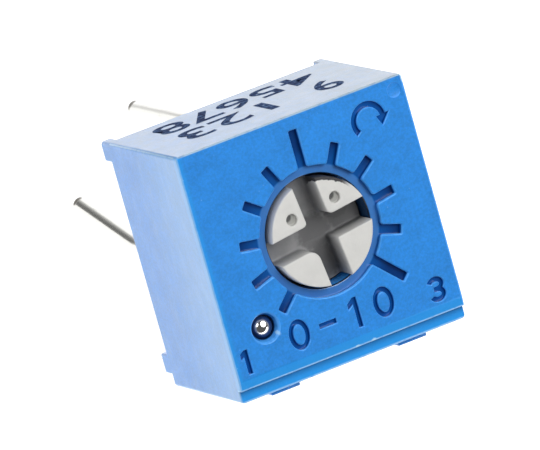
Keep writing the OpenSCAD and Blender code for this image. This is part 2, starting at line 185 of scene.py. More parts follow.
LUG_RADIUS, LUG_HALF = 2.40, 20
PEG_RADIUS, PEG_HEAD, PEG_PLACE, PEG_TURN = 0.16, 0.24, 0.78, 56
QUADRANT_CORNERS = (0.16, 0.12, 0.30, 0.05)  # anticlockwise from the upper right
WIRE_TOP, LEAD_TIP = 0.50, -5.31
LEADS = {"lead_1": (-2.54, 0.0), "lead_2": (0.0, 2.54), "lead_3": (2.54, 0.0)}
LEANING_TIP = (-2.359, 0.725, -4.989)  # the middle of the tip of lead 1
SHEARED_SIDE = (-0.10, 0.20, 0.04)  # from the middle of a tip to the dark side of its rim
FLECKS = (((0.15, LIP_Y + 0.01), 0.09, 0.08, 1.0),  # place, radius, raggedness and strength
          ((0.62, LIP_Y + 0.01), 0.10, 0.10, 1.0),
          ((-0.75, LIP_Y), 0.06, 0.08, 1.0),
          ((VENT.x + 0.34, VENT.y - 0.26), 0.10, 0.10, 0.6))
# Painted shade on the floors of the marks near the ring and far out, and of the figures.
MARK_SHADE_NEAR_RING, MARK_SHADE_FAR_OUT, FIGURE_FLOOR_SHADE = (0.002, 0.075, 0.31), (0.0, 0.028, 0.15), (0.002, 0.08, 0.34)
# Painted shade deep in the vent's hole and on the bore's wall.
VENT_HOLE_SHADE, BORE_WALL_SHADE = (0.004, 0.02, 0.07), (0.002, 0.006, 0.02)
SLOT_SHADOWS = (((0.10, -0.12, -0.70), 0.62, 0.3, 1.0),  # painted shadows in the slot, from the middle of its top
         ((0.11, -0.89, -0.70), 0.60, 0.3, 1.0),
         ((1.05, 0.13, -0.70), 0.75, 0.3, 1.2),
         ((0.85, 0.38, -0.75), 0.55, 0.2, 1.33))
CREEP = 0.06  # how far the resin is drawn up along the walls
INK_ROWS = (("123", (-0.36, FACE_Z - 2.35), (2.23, FACE_Z - 1.20)),
            ("45678", (-2.33, FACE_Z - 3.80), (2.28, FACE_Z - 2.66)),
            ("9", (-2.28, FACE_Z - 2.24), (-1.57, FACE_Z - 1.04)))
KEY_WAY = (0.32, 0.38, 0.87)  # towards the key lamp
GLOSS_LEVEL = 2.6  # how bright gloss sees the floor and the low surroundings, where 1 is white
FLOOR_SIZE = 4.0


# ---- modelling, in millimetres ----

def deselect():
    """Leaves object mode with nothing selected."""
    if bpy.context.object and bpy.context.object.mode != "OBJECT":
        bpy.ops.object.mode_set(mode="OBJECT")
    bpy.ops.object.select_all(action="DESELECT")


def activate(*objects):
    """Selects the objects alone, and makes the first one active."""
    deselect()
    for obj in objects:
        obj.select_set(True)
    bpy.context.view_layer.objects.active = objects[0]
    return objects[0]


def settle(obj):
    """Moves an object's place, turn and size into its mesh."""
    activate(obj)
    bpy.ops.object.transform_apply(location=True, rotation=True, scale=True)
    return obj


def block(low, high):
    """A box between two corners."""
    deselect()
    low, high = Vector(low), Vector(high)
    bpy.ops.mesh.primitive_cube_add(size=1, location=(low + high) / 2, scale=high - low)
    return settle(bpy.context.object)


def pick(obj, kind, test):
    """Opens a mesh in edit mode with just the vertices, edges or faces that pass a test."""
    activate(obj)
    mesh = obj.data
    bpy.ops.object.mode_set(mode="EDIT")
    bpy.context.tool_settings.mesh_select_mode = (kind == "vertices", kind == "edges", kind == "faces")
    bpy.ops.mesh.select_all(action="DESELECT")
    bpy.ops.object.mode_set(mode="OBJECT")
    places = [v.co.copy() for v in mesh.vertices]
    if kind == "vertices":
        for vertex in mesh.vertices:
            vertex.select = test(vertex.co)
    elif kind == "edges":
        for edge in mesh.edges:
            edge.select = test(*(places[i] for i in edge.vertices))
    else:
        for face in mesh.polygons:
            face.select = test(face.center, face.normal)
    bpy.ops.object.mode_set(mode="EDIT")


def close_edit(obj):
    """Goes back to object mode."""
    bpy.ops.object.mode_set(mode="OBJECT")
    return obj


def round_edges(obj, radius, segments, test):
    """Rounds the edges whose two ends pass a test."""
    pick(obj, "edges", test)
    bpy.ops.mesh.bevel(offset=radius, segments=segments, profile=0.5, affect="EDGES",
                       clamp_overlap=False, loop_slide=False)
    return close_edit(obj)


def round_sharp(obj, radius, segments, sharper_than, also=lambda a, b: False):
    """Rounds every edge sharper than an angle in degrees, and those that pass a test."""
    pick(obj, "edges", also)
    bpy.ops.mesh.edges_select_sharp(sharpness=radians(sharper_than))
    bpy.ops.mesh.bevel(offset=radius, segments=segments, profile=0.5, affect="EDGES",
                       clamp_overlap=False, loop_slide=False)
    return close_edit(obj)


def apply_modifier(obj, kind, **settings):
    """Adds a modifier with its settings and applies it."""
    activate(obj)
    modifier = obj.modifiers.new(kind.title(), kind)
    for name, value in settings.items():
        setattr(modifier, name, value)
    bpy.ops.object.modifier_apply(modifier=modifier.name)
    return obj


def combine(obj, operation, *tools):
    """Joins, cuts or intersects a piece with each tool in turn, and uses the tools up."""
    for tool in tools:
        apply_modifier(obj, "BOOLEAN", operation=operation, solver="EXACT", object=tool)
        bpy.data.objects.remove(tool, do_unlink=True)
    return obj


def merge(obj, distance=1e-4):
    """Merges doubled vertices, drops needless edges and turns the faces outwards."""
    pick(obj, "vertices", lambda place: True)
    bpy.ops.mesh.remove_doubles(threshold=distance)
    bpy.ops.mesh.dissolve_limited(angle_limit=radians(0.05))
    bpy.ops.mesh.normals_make_consistent(inside=False)
    return close_edit(obj)


def lathe(centre, stations, steps):
    """A turned solid about an upright axis, from (radius, height) stations."""
    deselect()
    (radius, height), *rest = stations
    bpy.ops.mesh.primitive_circle_add(vertices=steps, radius=radius, fill_type="NGON",
                                      location=(centre[0], centre[1], height))
    obj = settle(bpy.context.object)
    pick(obj, "faces", lambda middle, normal: True)
    for next_radius, next_height in rest:
        bpy.ops.mesh.extrude_region_move(
            TRANSFORM_OT_translate={"value": (0, 0, next_height - height)})
        share = next_radius / radius
        bpy.ops.transform.resize(value=(share, share, 1),
                                 center_override=(centre[0], centre[1], next_height))
        radius, height = next_radius, next_height
    bpy.ops.mesh.select_all(action="SELECT")
    bpy.ops.mesh.normals_make_consistent(inside=False)
    return close_edit(obj)


def arc(centre, radius, start, end, steps):
    """Points on an arc, from one angle to another in degrees."""
    turns = [radians(start + (end - start) * i / steps) for i in range(steps + 1)]
    return [(centre[0] + radius * cos(t), centre[1] + radius * sin(t)) for t in turns]


def real_size(obj, name, body, slot, *nodes, smooth=30):
    """Finishes a piece: real size, clean shading, name, body, finish and the nodes it stands for."""
    obj.scale = (MM, MM, MM)
    settle(obj)
    bpy.ops.object.shade_smooth_by_angle(angle=radians(smooth))
    apply_modifier(obj, "WEIGHTED_NORMAL", weight=80, keep_sharp=True)
    obj.name = name
    obj.data.name = name
    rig.ride(obj, body)
    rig.slot(obj, slot)
    if nodes:
        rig.replaces(obj, *nodes)
    return obj


# ---- outlines of the sunk marks on the face ----

def outline_curve(name, outlines):
    """A flat curve with one closed straight-sided spline for each outline."""
    deselect()
    bpy.ops.curve.primitive_bezier_circle_add()
    obj = bpy.context.object
    obj.name = name
    curve = obj.data
    curve.splines.clear()
    for outline in outlines:
        spline = curve.splines.new("POLY")
        spline.points.add(len(outline) - 1)
        for point, (x, y) in zip(spline.points, outline):
            point.co = (x, y, 0, 1)
        spline.use_cyclic_u = True
    curve.dimensions = "2D"
    curve.fill_mode = "BOTH"
    return obj


def dial_outline(sizes):
    """The sunk ring with its marks, anticlockwise, with the corners where they meet rounded."""
    ring, half, bend, nose = (v / MM for v in (sizes.ring_radius, sizes.mark_width / 2,
                                               sizes.mark_fillet, sizes.mark_corner))
    count = sizes.mark_count
    step = degrees(sizes.travel) / (count - 1)
    out = sqrt((ring + bend) ** 2 - (half + bend) ** 2)
    lean = degrees(asin((half + bend) / (ring + bend)))
    points = []
    for i in reversed(range(count)):
        middle = 90 - (i - (count - 1) / 2) * step
        reach = (sizes.long_mark if i in (count // 2, count - 1) else sizes.short_mark) / MM
        mark = arc((out, -half - bend), bend, 180 - lean, 90, 5)
        mark += arc((reach - nose, nose - half), nose, -90, 0, 3)
        mark += arc((reach - nose, half - nose), nose, 0, 90, 3)
        mark += arc((out, half + bend), bend, -90, lean - 180, 5)
        turn = radians(middle)
        points += [(DIAL.x + x * cos(turn) - y * sin(turn), DIAL.y + x * sin(turn) + y * cos(turn))
                   for x, y in mark]
        gap = step - 2 * lean if i else 360 - step * (count - 1) - 2 * lean
        pieces = max(4, round(gap / 3))
        points += arc(DIAL, ring, middle + lean, middle + lean + gap, pieces)[1:-1]
    return points


def digit_one(low, high, stroke):
    """A plain figure one: an upright stroke with a short flag."""
    (x0, y0), (x1, y1) = low, high
    drop = (x1 - x0 - stroke) * 0.8
    return [(x1 - stroke, y0), (x1, y0), (x1, y1), (x1 - stroke * 0.9, y1), (x0, y1 - drop),
            (x0, y1 - drop - stroke * 1.15), (x1 - stroke, y1 - stroke * 1.3)]


def turning_arrow(centre, radius, stroke, start, end):
    """A curved arrow that runs clockwise, with its head at the end angle."""
    half = stroke / 2
    head = stroke * 1.25
    tip_turn = degrees(head * 1.5 / radius)
    outer = arc(centre, radius + half, start, end, 24)
    inner = arc(centre, radius - half, end, start, 24)
    barb_out = arc(centre, radius + head, end, end, 1)[:1]
    tip = arc(centre, radius, end - tip_turn, end - tip_turn, 1)[:1]
    barb_in = arc(centre, radius - head, end, end, 1)[:1]
    return outer + barb_out + tip + barb_in + inner


def ellipse(centre, across, up, start, end, steps):
    """Points on an upright ellipse, from one angle to another in degrees."""
    turns = [radians(start + (end - start) * i / steps) for i in range(steps + 1)]
    return [(centre[0] + across * cos(t), centre[1] + up * sin(t)) for t in turns]


def digit_nought(low, high, stroke):
    """A plain nought: its outer and its inner outline."""
    (x0, y0), (x1, y1) = low, high
    centre = ((x0 + x1) / 2, (y0 + y1) / 2)
    across, up = (x1 - x0) / 2, (y1 - y0) / 2
    return [ellipse(centre, across, up, 0, 350, 35),
            ellipse(centre, across - stroke, up - stroke, 0, 350, 35)]


def digit_three(low, high, stroke):
    """A plain figure three of two open bowls with a short bar between them."""
    (x0, y0), (x1, y1) = low, high
    across, up = (x1 - x0) / 2, (y1 - y0 + stroke) / 4
    x, middle = x1 - across, (y0 + y1) / 2
    upper, lower = (x, y1 - up), (x, y0 + up)
    open_at = 158
    notch = degrees(asin(1 - stroke / (2 * up)))
    thin = (across - stroke, up - stroke)
    return (ellipse(upper, across, up, open_at, -notch, 18)
            + ellipse(lower, across, up, notch, -open_at, 18)
            + ellipse(lower, *thin, -open_at, 90, 16)
            + [(x - across * 0.3, middle - stroke / 2), (x - across * 0.3, middle + stroke / 2)]
            + ellipse(upper, *thin, -90, open_at, 16))


def figure_marks(sizes):
    """The outlines of each sunk figure: the end numbers, the scale and the turning arrow."""
    stroke = sizes.figure_stroke / MM
    y = CENTRE_Y
    low, high = y - 2.57, y - 1.77
    dash = (low + high) / 2
    return [[digit_one((-3.05, y - 2.67), (-2.83, y - 2.03), stroke)],
            [digit_three((2.42, y - 2.70), (2.90, y - 2.04), stroke)],
            digit_nought((-1.62, low), (-1.04, high), stroke),
            [[(-0.74, dash - stroke / 2), (-0.24, dash - stroke / 2),
              (-0.24, dash + stroke / 2), (-0.74, dash + stroke / 2)]],
            [digit_one((0.16, low), (0.44, high), stroke)],
            digit_nought((0.86, low), (1.44, high), stroke),
            [turning_arrow((2.1, y + 2.42), 0.42, sizes.arrow_stroke / MM, 215, 5)]]


def ink_figures(body, low, high):
    """A flat mesh of plain figures from the built-in font, fitted between two corners."""
    deselect()
    bpy.ops.object.text_add()
    obj = bpy.context.object
    obj.data.body = body
    obj.data.extrude = INK
    obj.data.offset = 0.012
    bpy.ops.object.convert(target="MESH")
    obj = bpy.context.object
    width, height = obj.dimensions.x, obj.dimensions.y
    corner = Vector(obj.bound_box[0])
    share = Vector(((high[0] - low[0]) / width, (high[1] - low[1]) / height, 1))
    obj.scale = share
    obj.location = (low[0] - corner.x * share.x, low[1] - corner.y * share.y, 0)
    return settle(obj)


# ---- sizes and colours that a user would change ----

def length(name, description, millimetres):
    """A length property, in metres, from its size in millimetres."""
    return FloatProperty(name=name, description=description, default=millimetres * MM,
                         min=0, precision=6, subtype="DISTANCE", unit="LENGTH")


def colour(name, description, *value):
    """A colour property, in linear light."""
    return FloatVectorProperty(name=name, description=description, subtype="COLOR", size=3,
                               min=0, max=1, default=value)


class TrimmerShellSizes(PropertyGroup):
    """Sizes of the moulded shell."""
    wall: length("Wall", "Thickness of the side walls", 0.48)
    face_wall: length("Face wall", "Thickness of the wall that carries the dial", 0.85)
    corner_radius: length("Corner radius", "Radius on the four long edges", 0.1)
    edge_radius: length("Edge radius", "Radius on the other outer edges", 0.035)
    lip_radius: length("Lip radius", "Radius on the lips of the sunk marks", 0.05)
    figure_lip: length("Figure lip radius", "Radius on the lips of the sunk figures", 0.035)
    ring_radius: length("Ring radius", "Radius of the sunk ring round the rotor", 1.70)
    bore_radius: length("Bore radius", "Radius of the hole that the rotor turns in", 1.47)
    mark_depth: length("Mark depth", "Depth of the sunk ring and its marks", 0.16)
    figure_depth: length("Figure depth", "Depth of the sunk figures", 0.12)
    mark_width: length("Mark width", "Width of a mark on the dial", 0.24)
    short_mark: length("Short mark", "Radius that the short marks reach", 2.28)
    long_mark: length("Long mark", "Radius that the middle and the last mark reach", 2.73)
    mark_fillet: length("Mark fillet", "Radius where a mark leaves the ring", 0.08)
    mark_corner: length("Mark corner", "Radius in the outer corners of a mark", 0.03)
    figure_stroke: length("Figure stroke", "Width of the strokes of the figures", 0.125)
    arrow_stroke: length("Arrow stroke", "Width of the stroke of the turning arrow", 0.15)
    mark_count: IntProperty(name="Marks", description="Number of marks round the dial", default=11, min=3)
    travel: FloatProperty(name="Travel", description="Angle from the first to the last mark",
                          default=radians(270), subtype="ANGLE", unit="ROTATION")


class TrimmerRotorSizes(PropertyGroup):
    """Sizes of the rotor."""
    hub_radius: length("Hub radius", "Radius of the hub", 1.42)
    slot_width: length("Slot width", "Width of the cross slot", 0.64)
    slot_depth: length("Slot depth", "Depth of the cross slot", 0.76)
    slot_floor: length("Slot floor radius", "Radius along the floor of the slot", 0.06)
    rim_radius: length("Rim radius", "Radius on the upper edges of the four quadrants", 0.04)
    dimple_radius: length("Dimple radius", "Radius of the two dimples", 0.15)
    dimple_depth: length("Dimple depth", "Depth of the two dimples", 0.1)
    dimple_place: length("Dimple place", "Distance of the dimples from the axis", 0.93)
    setting: FloatProperty(name="Setting", description="Angle of the slot, anticlockwise",
                           default=radians(7), subtype="ANGLE", unit="ROTATION")


class TrimmerLeadSizes(PropertyGroup):
    """Sizes of the three leads."""
    wire_radius: length("Wire radius", "Radius of the round wire", 0.21)
    square: length("Square", "Side of the squared end inside the body", 0.38)
    chamfer: length("Chamfer", "Chamfer round the tip", 0.05)
    straight: length("Straight", "Depth below the back rim where lead 1 starts to bend", 1.3)
    bend_radius: length("Bend radius", "Radius of the bend in lead 1", 3.0)
    cut: length("Cut", "How much shorter lead 1 is cut than the other two", 0.25)
    lean: FloatProperty(name="Lean", description="Lean of lead 1 below its bend",
                        default=radians(11.2), subtype="ANGLE", unit="ROTATION")
    way: FloatProperty(name="Way", description="Direction in which lead 1 leans",
                       default=radians(76), subtype="ANGLE", unit="ROTATION")


class TrimmerFinish(PropertyGroup):
    """Colours of the visible pieces."""
    shell: colour("Shell", "Moulded body", 0.0185, 0.229, 0.68)
    shell_clear: colour("Clear shell", "Moulded body along its lower and left edges", 0.012, 0.31, 0.82)
    # Painted highlight, for the lit lips, the lower lip, the vent's cone and the outer edges.
    painted_highlight: colour("Bright shell", "Moulded body on the lips that catch the light", 0.09, 0.42, 1.0)
    # Painted reflection of the white rotor on the ring's floor.
    ring_reflection: colour("Ring shell", "Moulded body on the floor of the ring", 0.055, 0.19, 0.50)
    # Painted sheen: a grey haze on the upper side.
    top_sheen: colour("Top haze", "Grey haze on the upper side", 0.30, 0.30, 0.20)
    # Dust and flash, and also the colour of the painted sheen on the left side.
    dust_and_sheen: colour("Shell dust", "Fine dust and flash on the body's edges", 0.50, 0.78, 1.0)
    rotor: colour("Rotor", "Moulded rotor", 0.72, 0.715, 0.69)
    # Painted shade in the cross slot, darker the deeper it lies.
    rotor_slot_shade: colour("Rotor grime", "Grease and dust in the slot", 0.17, 0.17, 0.175)
    wire: colour("Wire", "Tinned wire", 0.34, 0.338, 0.322)
    resin: colour("Resin", "Cured resin on the back", 0.50, 0.36, 0.17)
    ink: colour("Ink", "Printed figures on the upper side", 0.012, 0.024, 0.075)


class TrimmerStage(PropertyGroup):
    """Camera and light."""
    azimuth: FloatProperty(name="Azimuth", description="Direction from the part to the camera, from +X",
                           default=radians(148.713), subtype="ANGLE", unit="ROTATION")
    elevation: FloatProperty(name="Elevation", description="Height of the camera above the horizon",
                             default=radians(64.241), subtype="ANGLE", unit="ROTATION")
    roll: FloatProperty(name="Roll", description="Turn of the camera about its own view",
                        default=radians(102.943), subtype="ANGLE", unit="ROTATION")
    distance: FloatProperty(name="Distance", description="From the middle of the face to the camera",
                            default=0.253, subtype="DISTANCE", unit="LENGTH")
    lens: FloatProperty(name="Lens", description="Focal length of the camera", default=663.7,
                        subtype="DISTANCE_CAMERA")
    aside: FloatProperty(name="Aside", description="Shift of the camera to its own right", unit="LENGTH",
                         default=-1.336 * MM, subtype="DISTANCE", precision=6)
    above: FloatProperty(name="Above", description="Shift of the camera upwards in its own view",
                         default=0.31 * MM, subtype="DISTANCE", unit="LENGTH", precision=6)
    background: colour("Background", "Floor and surroundings as the camera sees them", 1, 1, 1)
    ambient: FloatProperty(name="Ambient", description="Light from the surroundings on dull surfaces",
                           default=0.30, min=0)


# ---- nodes ----

COLOUR_A, COLOUR_B, COLOUR_OUT = 6, 7, 2  # the colour sockets of a Mix node


class Value:
    """An output socket on which Python's arithmetic adds Math nodes."""

    def __init__(self, net, socket):
        self.net = net
        self.socket = socket

    def maths(self, operation, *terms):
        return self.net.add("ShaderNodeMath", {"operation": operation}, dict(enumerate(terms)))

    def __add__(self, other):
        return self.maths("ADD", self, other)

    def __radd__(self, other):
        return self.maths("ADD", other, self)

    def __sub__(self, other):
        return self.maths("SUBTRACT", self, other)

    def __rsub__(self, other):
        return self.maths("SUBTRACT", other, self)

    def __mul__(self, other):
        return self.maths("MULTIPLY", self, other)

    def __rmul__(self, other):
        return self.maths("MULTIPLY", other, self)

    def __truediv__(self, other):
        return self.maths("DIVIDE", self, other)

    def __abs__(self):
        return self.maths("ABSOLUTE", self)

    def max(self, other):
        return self.maths("MAXIMUM", self, other)

    def min(self, other):
        return self.maths("MINIMUM", self, other)


class Net:
    """Builds the nodes of one material, or of the world."""

    def __init__(self, tree):
        self.tree = tree
        tree.nodes.clear()

    def add(self, kind, settings=None, inputs=None, output=0):
        """Adds a node, sets it up, feeds its sockets, and returns one of its outputs."""
        node = self.tree.nodes.new(kind)
        for name, value in (settings or {}).items():
            if name == "stops":
                for i, (place, shade) in enumerate(value):
                    stops = node.color_ramp.elements
                    stop = stops[i] if i < len(stops) else stops.new(place)
                    stop.position = place
                    stop.color = (*shade, 1)
            else:
                setattr(node, name, value)
        for name, value in (inputs or {}).items():
            if isinstance(value, Value):
                self.tree.links.new(value.socket, node.inputs[name])
            else:
                node.inputs[name].default_value = value
        return Value(self, node.outputs[output]) if node.outputs else None

    def place(self):
        """The place on the piece, in millimetres."""
        spot = self.add("ShaderNodeTexCoord", output="Object")
        return self.add("ShaderNodeVectorMath", {"operation": "SCALE"}, {"Vector": spot, "Scale": 1 / MM})

    def axes(self):
        """The place on the piece as three numbers, in millimetres."""
        place = self.place()
        return [self.add("ShaderNodeSeparateXYZ", None, {0: place}, output=i) for i in range(3)]

    def noise(self, scale, detail=2.0, roughness=0.5, stretch=(1, 1, 1)):
        """Soft random values from 0 to 1, at so many cells a millimetre."""
        place = self.add("ShaderNodeMapping", None, {"Vector": self.place(), "Scale": stretch})
        return self.add("ShaderNodeTexNoise", None, {"Vector": place, "Scale": scale, "Detail": detail,
                                                     "Roughness": roughness})

    def cells(self, scale, random=1.0):
        """The distance to the nearest of scattered points, in cells."""
        return self.add("ShaderNodeTexVoronoi", None, {"Vector": self.place(), "Scale": scale,
                                                       "Randomness": random})

    def step(self, value, start, end):
        """A smooth step from 0 at the start to 1 at the end."""
        return self.add("ShaderNodeMapRange", {"interpolation_type": "SMOOTHSTEP"},
                        {"Value": value, "From Min": start, "From Max": end})

    def distance(self, spot):
        """How far a place on the piece is from a spot, in millimetres."""
        return self.add("ShaderNodeVectorMath", {"operation": "DISTANCE"}, {0: self.place(), 1: spot},
                        output="Value")

    def near(self, spot, radius, ragged=0.0):
        """A mask that is 1 at a spot and 0 outside a radius, in millimetres."""
        away = self.distance(spot)
        if ragged:
            away = away + (self.noise(9, 3) - 0.5) * ragged
        return 1 - self.step(away, radius * 0.6, radius)

    def mix(self, first, second, share, blend="MIX"):
        """A blend of two colours."""
        first, second = (c if isinstance(c, Value) else (*c, 1) for c in (first, second))
        return self.add("ShaderNodeMix", {"data_type": "RGBA", "blend_type": blend},
                        {0: share, COLOUR_A: first, COLOUR_B: second}, output=COLOUR_OUT)

    def bump(self, height, distance, normal=None):
        """A relief of so many millimetres."""
        inputs = {"Height": height, "Distance": distance * MM, "Strength": 1.0}
        if normal:
            inputs["Normal"] = normal
        return self.add("ShaderNodeBump", None, inputs)

    def surface(self, **sockets):
        """Ends a material in one shader; underlines stand for spaces in its sockets' names."""
        inputs = {name.replace("_", " "): value for name, value in sockets.items()}
        inputs.update({"IOR": inputs.pop("ior", 1.5)})
        shader = self.add("ShaderNodeBsdfPrincipled", None, inputs)
        self.add("ShaderNodeOutputMaterial", None, {"Surface": shader})


def material(name):
    """A new material and its node builder."""
    made = bpy.data.materials.new(name)
    made.use_nodes = True
    return made, Net(made.node_tree)


def wear(obj, made):
    """Gives a piece one material."""
    obj.data.materials.clear()
    obj.data.materials.append(made)


def edge_mask(net, low, high, width):
    """A mask along the outer edges of a box: 1 where two of its sides are near."""
    shares = []
    for axis, (a, b) in zip(net.axes(), zip(low, high)):
        off = abs(axis - (a + b) / 2)
        shares.append(net.step(off, (b - a) / 2 - width, (b - a) / 2))
    x, y, z = shares
    return (x * y).max(y * z).max(x * z)


def mottled_blue(net, finish, grain, blotch):
    """The body's blue, lighter and darker in clouds, blotches and fine grain."""
    cloud = net.noise(1.3, 3)
    shade = net.step(cloud, 0.3, 0.75) * 0.24 + net.step(grain, 0.38, 0.62) * 0.34 + blotch * 0.3
    light, dark = (tuple(min(1, c * share) for c in finish.shell) for share in (1.26, 0.72))
    return net.mix(light, dark, shade)


def lower_band(net, finish, body, front):
    """Clear blue along the lower and left edges of the face, with the shade under the lip."""
    x, y = net.axes()[:2]
    clear = (1 - net.step(y, BAND_Y - 0.03, BAND_Y + 0.03)) * front
    clear = clear.max((1 - net.step(x, SHELL_LOW.x + 0.04, SHELL_LOW.x + 0.2)) * front)
    body = net.mix(body, finish.shell_clear, clear * 0.8)
    shade = net.step(y, LIP_Y - 0.24, LIP_Y - 0.02) * (1 - net.step(y, LIP_Y - 0.005, LIP_Y + 0.005)) * front
    return net.mix(body, tuple(c * 0.35 for c in finish.shell), shade * 0.6)


def shaded_floors(net, finish, body, sunk, past_ring, blotch):
    """Painted shade on the floors of the marks and figures, darker further out, and a dull blue painted reflection on
    the ring's floor.
    """
    z = net.axes()[2]
    # Painted shade on the marks' floors, darker further from the ring, and on the figures' floors.
    deep = net.mix(MARK_SHADE_NEAR_RING, MARK_SHADE_FAR_OUT, net.step(past_ring, 0.05, 0.6))
    deep = net.mix(deep, FIGURE_FLOOR_SHADE, net.step(z, FACE_Z - 0.15, FACE_Z - 0.13))
    in_ring = 1 - net.step(past_ring, -0.04, 0.04)
    body = net.mix(body, deep, sunk * (1 - in_ring) * 0.95)
    # Painted reflection on the ring's floor.
    return net.mix(body, finish.ring_reflection, sunk * in_ring * (0.7 + blotch * 0.4))


def painted_lips_and_edges(net, finish, body, front):
    """Painted highlights on the lips of the marks and on a line along the lower lip, and pale outer edges of painted
    highlight and dust.
    """
    x, y, z = net.axes()
    line = net.step(y, LIP_Y - 0.006, LIP_Y) * (1 - net.step(y, LIP_Y + 0.03, LIP_Y + 0.055)) * front
    line = line.max((1 - net.step(y, BOTTOM_Y + 0.03, BOTTOM_Y + 0.07)) * front)
    lit = net.add("ShaderNodeAttribute", {"attribute_name": "lip"}, output="Fac")
    ragged = net.step(net.noise(6, 3), 0.3, 0.5)
    # Painted highlight on the lips that lean to the light and on the line along the lower lip, which is paled further
    # with dust.
    body = net.mix(body, finish.painted_highlight, (lit * 0.9).max(line * 0.8) * (0.4 + ragged * 0.6))
    body = net.mix(body, finish.dust_and_sheen, line * (0.2 + ragged * 0.3))
    # Outer edges painted pale: painted highlight, with dust near the left and upper sides.
    edge = edge_mask(net, (SHELL_LOW.x, BOTTOM_Y, FOOT_H), (SHELL_HIGH.x, TOP_Y, FACE_Z), 0.07)
    edge = net.step(edge, 0.08, 0.3) * (0.55 + ragged * 0.45) * net.step(z, FOOT_H + 0.08, FOOT_H + 0.16)
    left = 1 - net.step(x, SHELL_LOW.x + 0.2, SHELL_LOW.x + 0.3)
    edge = edge * (1 - left * front * 0.65)
    pale = left.max(net.step(y, TOP_Y - 0.27, TOP_Y - 0.17))
    return net.mix(body, net.mix(finish.painted_highlight, finish.dust_and_sheen, pale), edge * 0.7)


def vent_and_bore(net, finish, body, front, past_bore, floor):
    """Painted light on the vent's cone with a painted highlight on its rim, and painted shade in its hole, in the gap
    round the rotor and on the bore's wall.
    """
    z = net.axes()[2]
    foot = FACE_Z - SINK_DEPTH
    # Painted light on the vent's cone, and a painted highlight on its rim.
    cone = net.near((VENT.x, VENT.y, FACE_Z - SINK_DEPTH / 2), 0.52) * net.step(z, foot, foot + 0.02)
    body = net.mix(body, finish.painted_highlight, cone * (1 - net.step(z, FACE_Z - 0.05, FACE_Z - 0.03)) * 0.22)
    rim = net.step(z, FACE_Z - 0.045, FACE_Z - 0.02) * (1 - net.step(z, FACE_Z - 0.004, FACE_Z - 0.001))
    body = net.mix(body, finish.painted_highlight, cone * rim * 0.6)
    # Painted shade deep in the vent's hole.
    hole = net.near((VENT.x, VENT.y, FACE_Z - 0.4), 0.55) * (1 - net.step(z, foot - 0.03, foot))
    body = net.mix(body, VENT_HOLE_SHADE, hole)
    # Painted shadow, black, in the gap between the rotor and the bore.
    gap = net.step(past_bore, -0.03, -0.01) * (1 - net.step(past_bore, 0.015, 0.04)) * front
    body = net.mix(body, (0, 0, 0), gap)
    # Painted shade on the bore's wall.
    wall = net.near((DIAL.x + 1.5, DIAL.y + 0.2, FACE_Z - 0.4), 0.7) * (1 - net.step(z, floor - 0.03, floor))
    return net.mix(body, BORE_WALL_SHADE, wall * 0.85)


def sheened_sides(net, finish, body, blotch):
    """Pale painted sheen on the left side, paler towards the face and streaked, and a grey painted sheen on the upper
    one.
    """
    x, y, z = net.axes()
    scraped = net.noise(4, 4, 0.6, (1, 0.3, 1))
    left = 1 - net.step(x, SHELL_LOW.x + 0.01, SHELL_LOW.x + 0.05)
    # Painted sheen on the left side, paler towards the face.
    haze = left * (net.step(z, 1.2, FACE_Z) * 0.28 + net.step(scraped, 0.4, 0.75) * 0.08 + 0.03)
    body = net.mix(body, finish.dust_and_sheen, haze)
    # Grey painted sheen on the upper side.
    top = net.step(y, TOP_Y - 0.07, TOP_Y - 0.02) * net.step(x, SHELL_LOW.x + 0.03, SHELL_LOW.x + 0.11)
    return net.mix(body, finish.top_sheen, top * (0.42 + net.step(x, -3, 3) * 0.14 + (blotch - 0.5) * 0.2))


def dust_mask(net):
    """Scattered specks, and the flecks of flash at the lip and the vent."""
    specks = (1 - net.step(net.cells(4.2), 0.03, 0.09)) * net.step(net.noise(1.1, 1), 0.5, 0.62)
    flecks = 0.0
    for spot, radius, ragged, strength in FLECKS:
        fleck = net.near((*spot, FACE_Z - 0.08), radius, ragged) * strength
        flecks = fleck.max(flecks)
    return (specks * 0.25).max(flecks * 0.9)


def shell_plastic(finish, sizes):
    """Blue moulded plastic: grained, with painted shade in its sunk marks, painted highlights on its lips and edges,
    and painted sheen on its sides.
    """
    made, net = material("shell_plastic")
    floor = FACE_Z - sizes.mark_depth / MM
    x, y, z = net.axes()
    front = net.step(z, FACE_Z - 0.22, FACE_Z - 0.19)
    inside = 1 - net.step(abs(x), SHELL_HIGH.x - 0.18, SHELL_HIGH.x - 0.1)
    inside = inside * (1 - net.step(y, TOP_Y - 0.18, TOP_Y - 0.1))
    inside = inside * net.step(y, BAND_Y, BAND_Y + 0.06) * front
    sunk = (1 - net.step(z, FACE_Z - 0.10, FACE_Z - 0.04)) * inside
    away = net.distance((DIAL.x, DIAL.y, floor))
    grain = net.noise(13, 4, 0.7)
    blotch = net.noise(5, 2)
    body = mottled_blue(net, finish, grain, blotch)
    body = lower_band(net, finish, body, front)
    body = shaded_floors(net, finish, body, sunk, away - sizes.ring_radius / MM, blotch)
    body = painted_lips_and_edges(net, finish, body, front)
    body = vent_and_bore(net, finish, body, front, away - sizes.bore_radius / MM, floor)
    body = sheened_sides(net, finish, body, blotch)
    dust = dust_mask(net)
    body = net.mix(body, finish.dust_and_sheen, dust)
    relief = grain * 0.6 + net.noise(3.0, 2) * 0.4
    matt = (0.30 + net.noise(2.2, 3) * 0.12) * (1 - sunk * 0.7) + dust * 0.2
    net.surface(Base_Color=body, Roughness=matt, Normal=net.bump(relief, 0.006), Sheen_Weight=0.05,
                Sheen_Roughness=0.3)
    return made


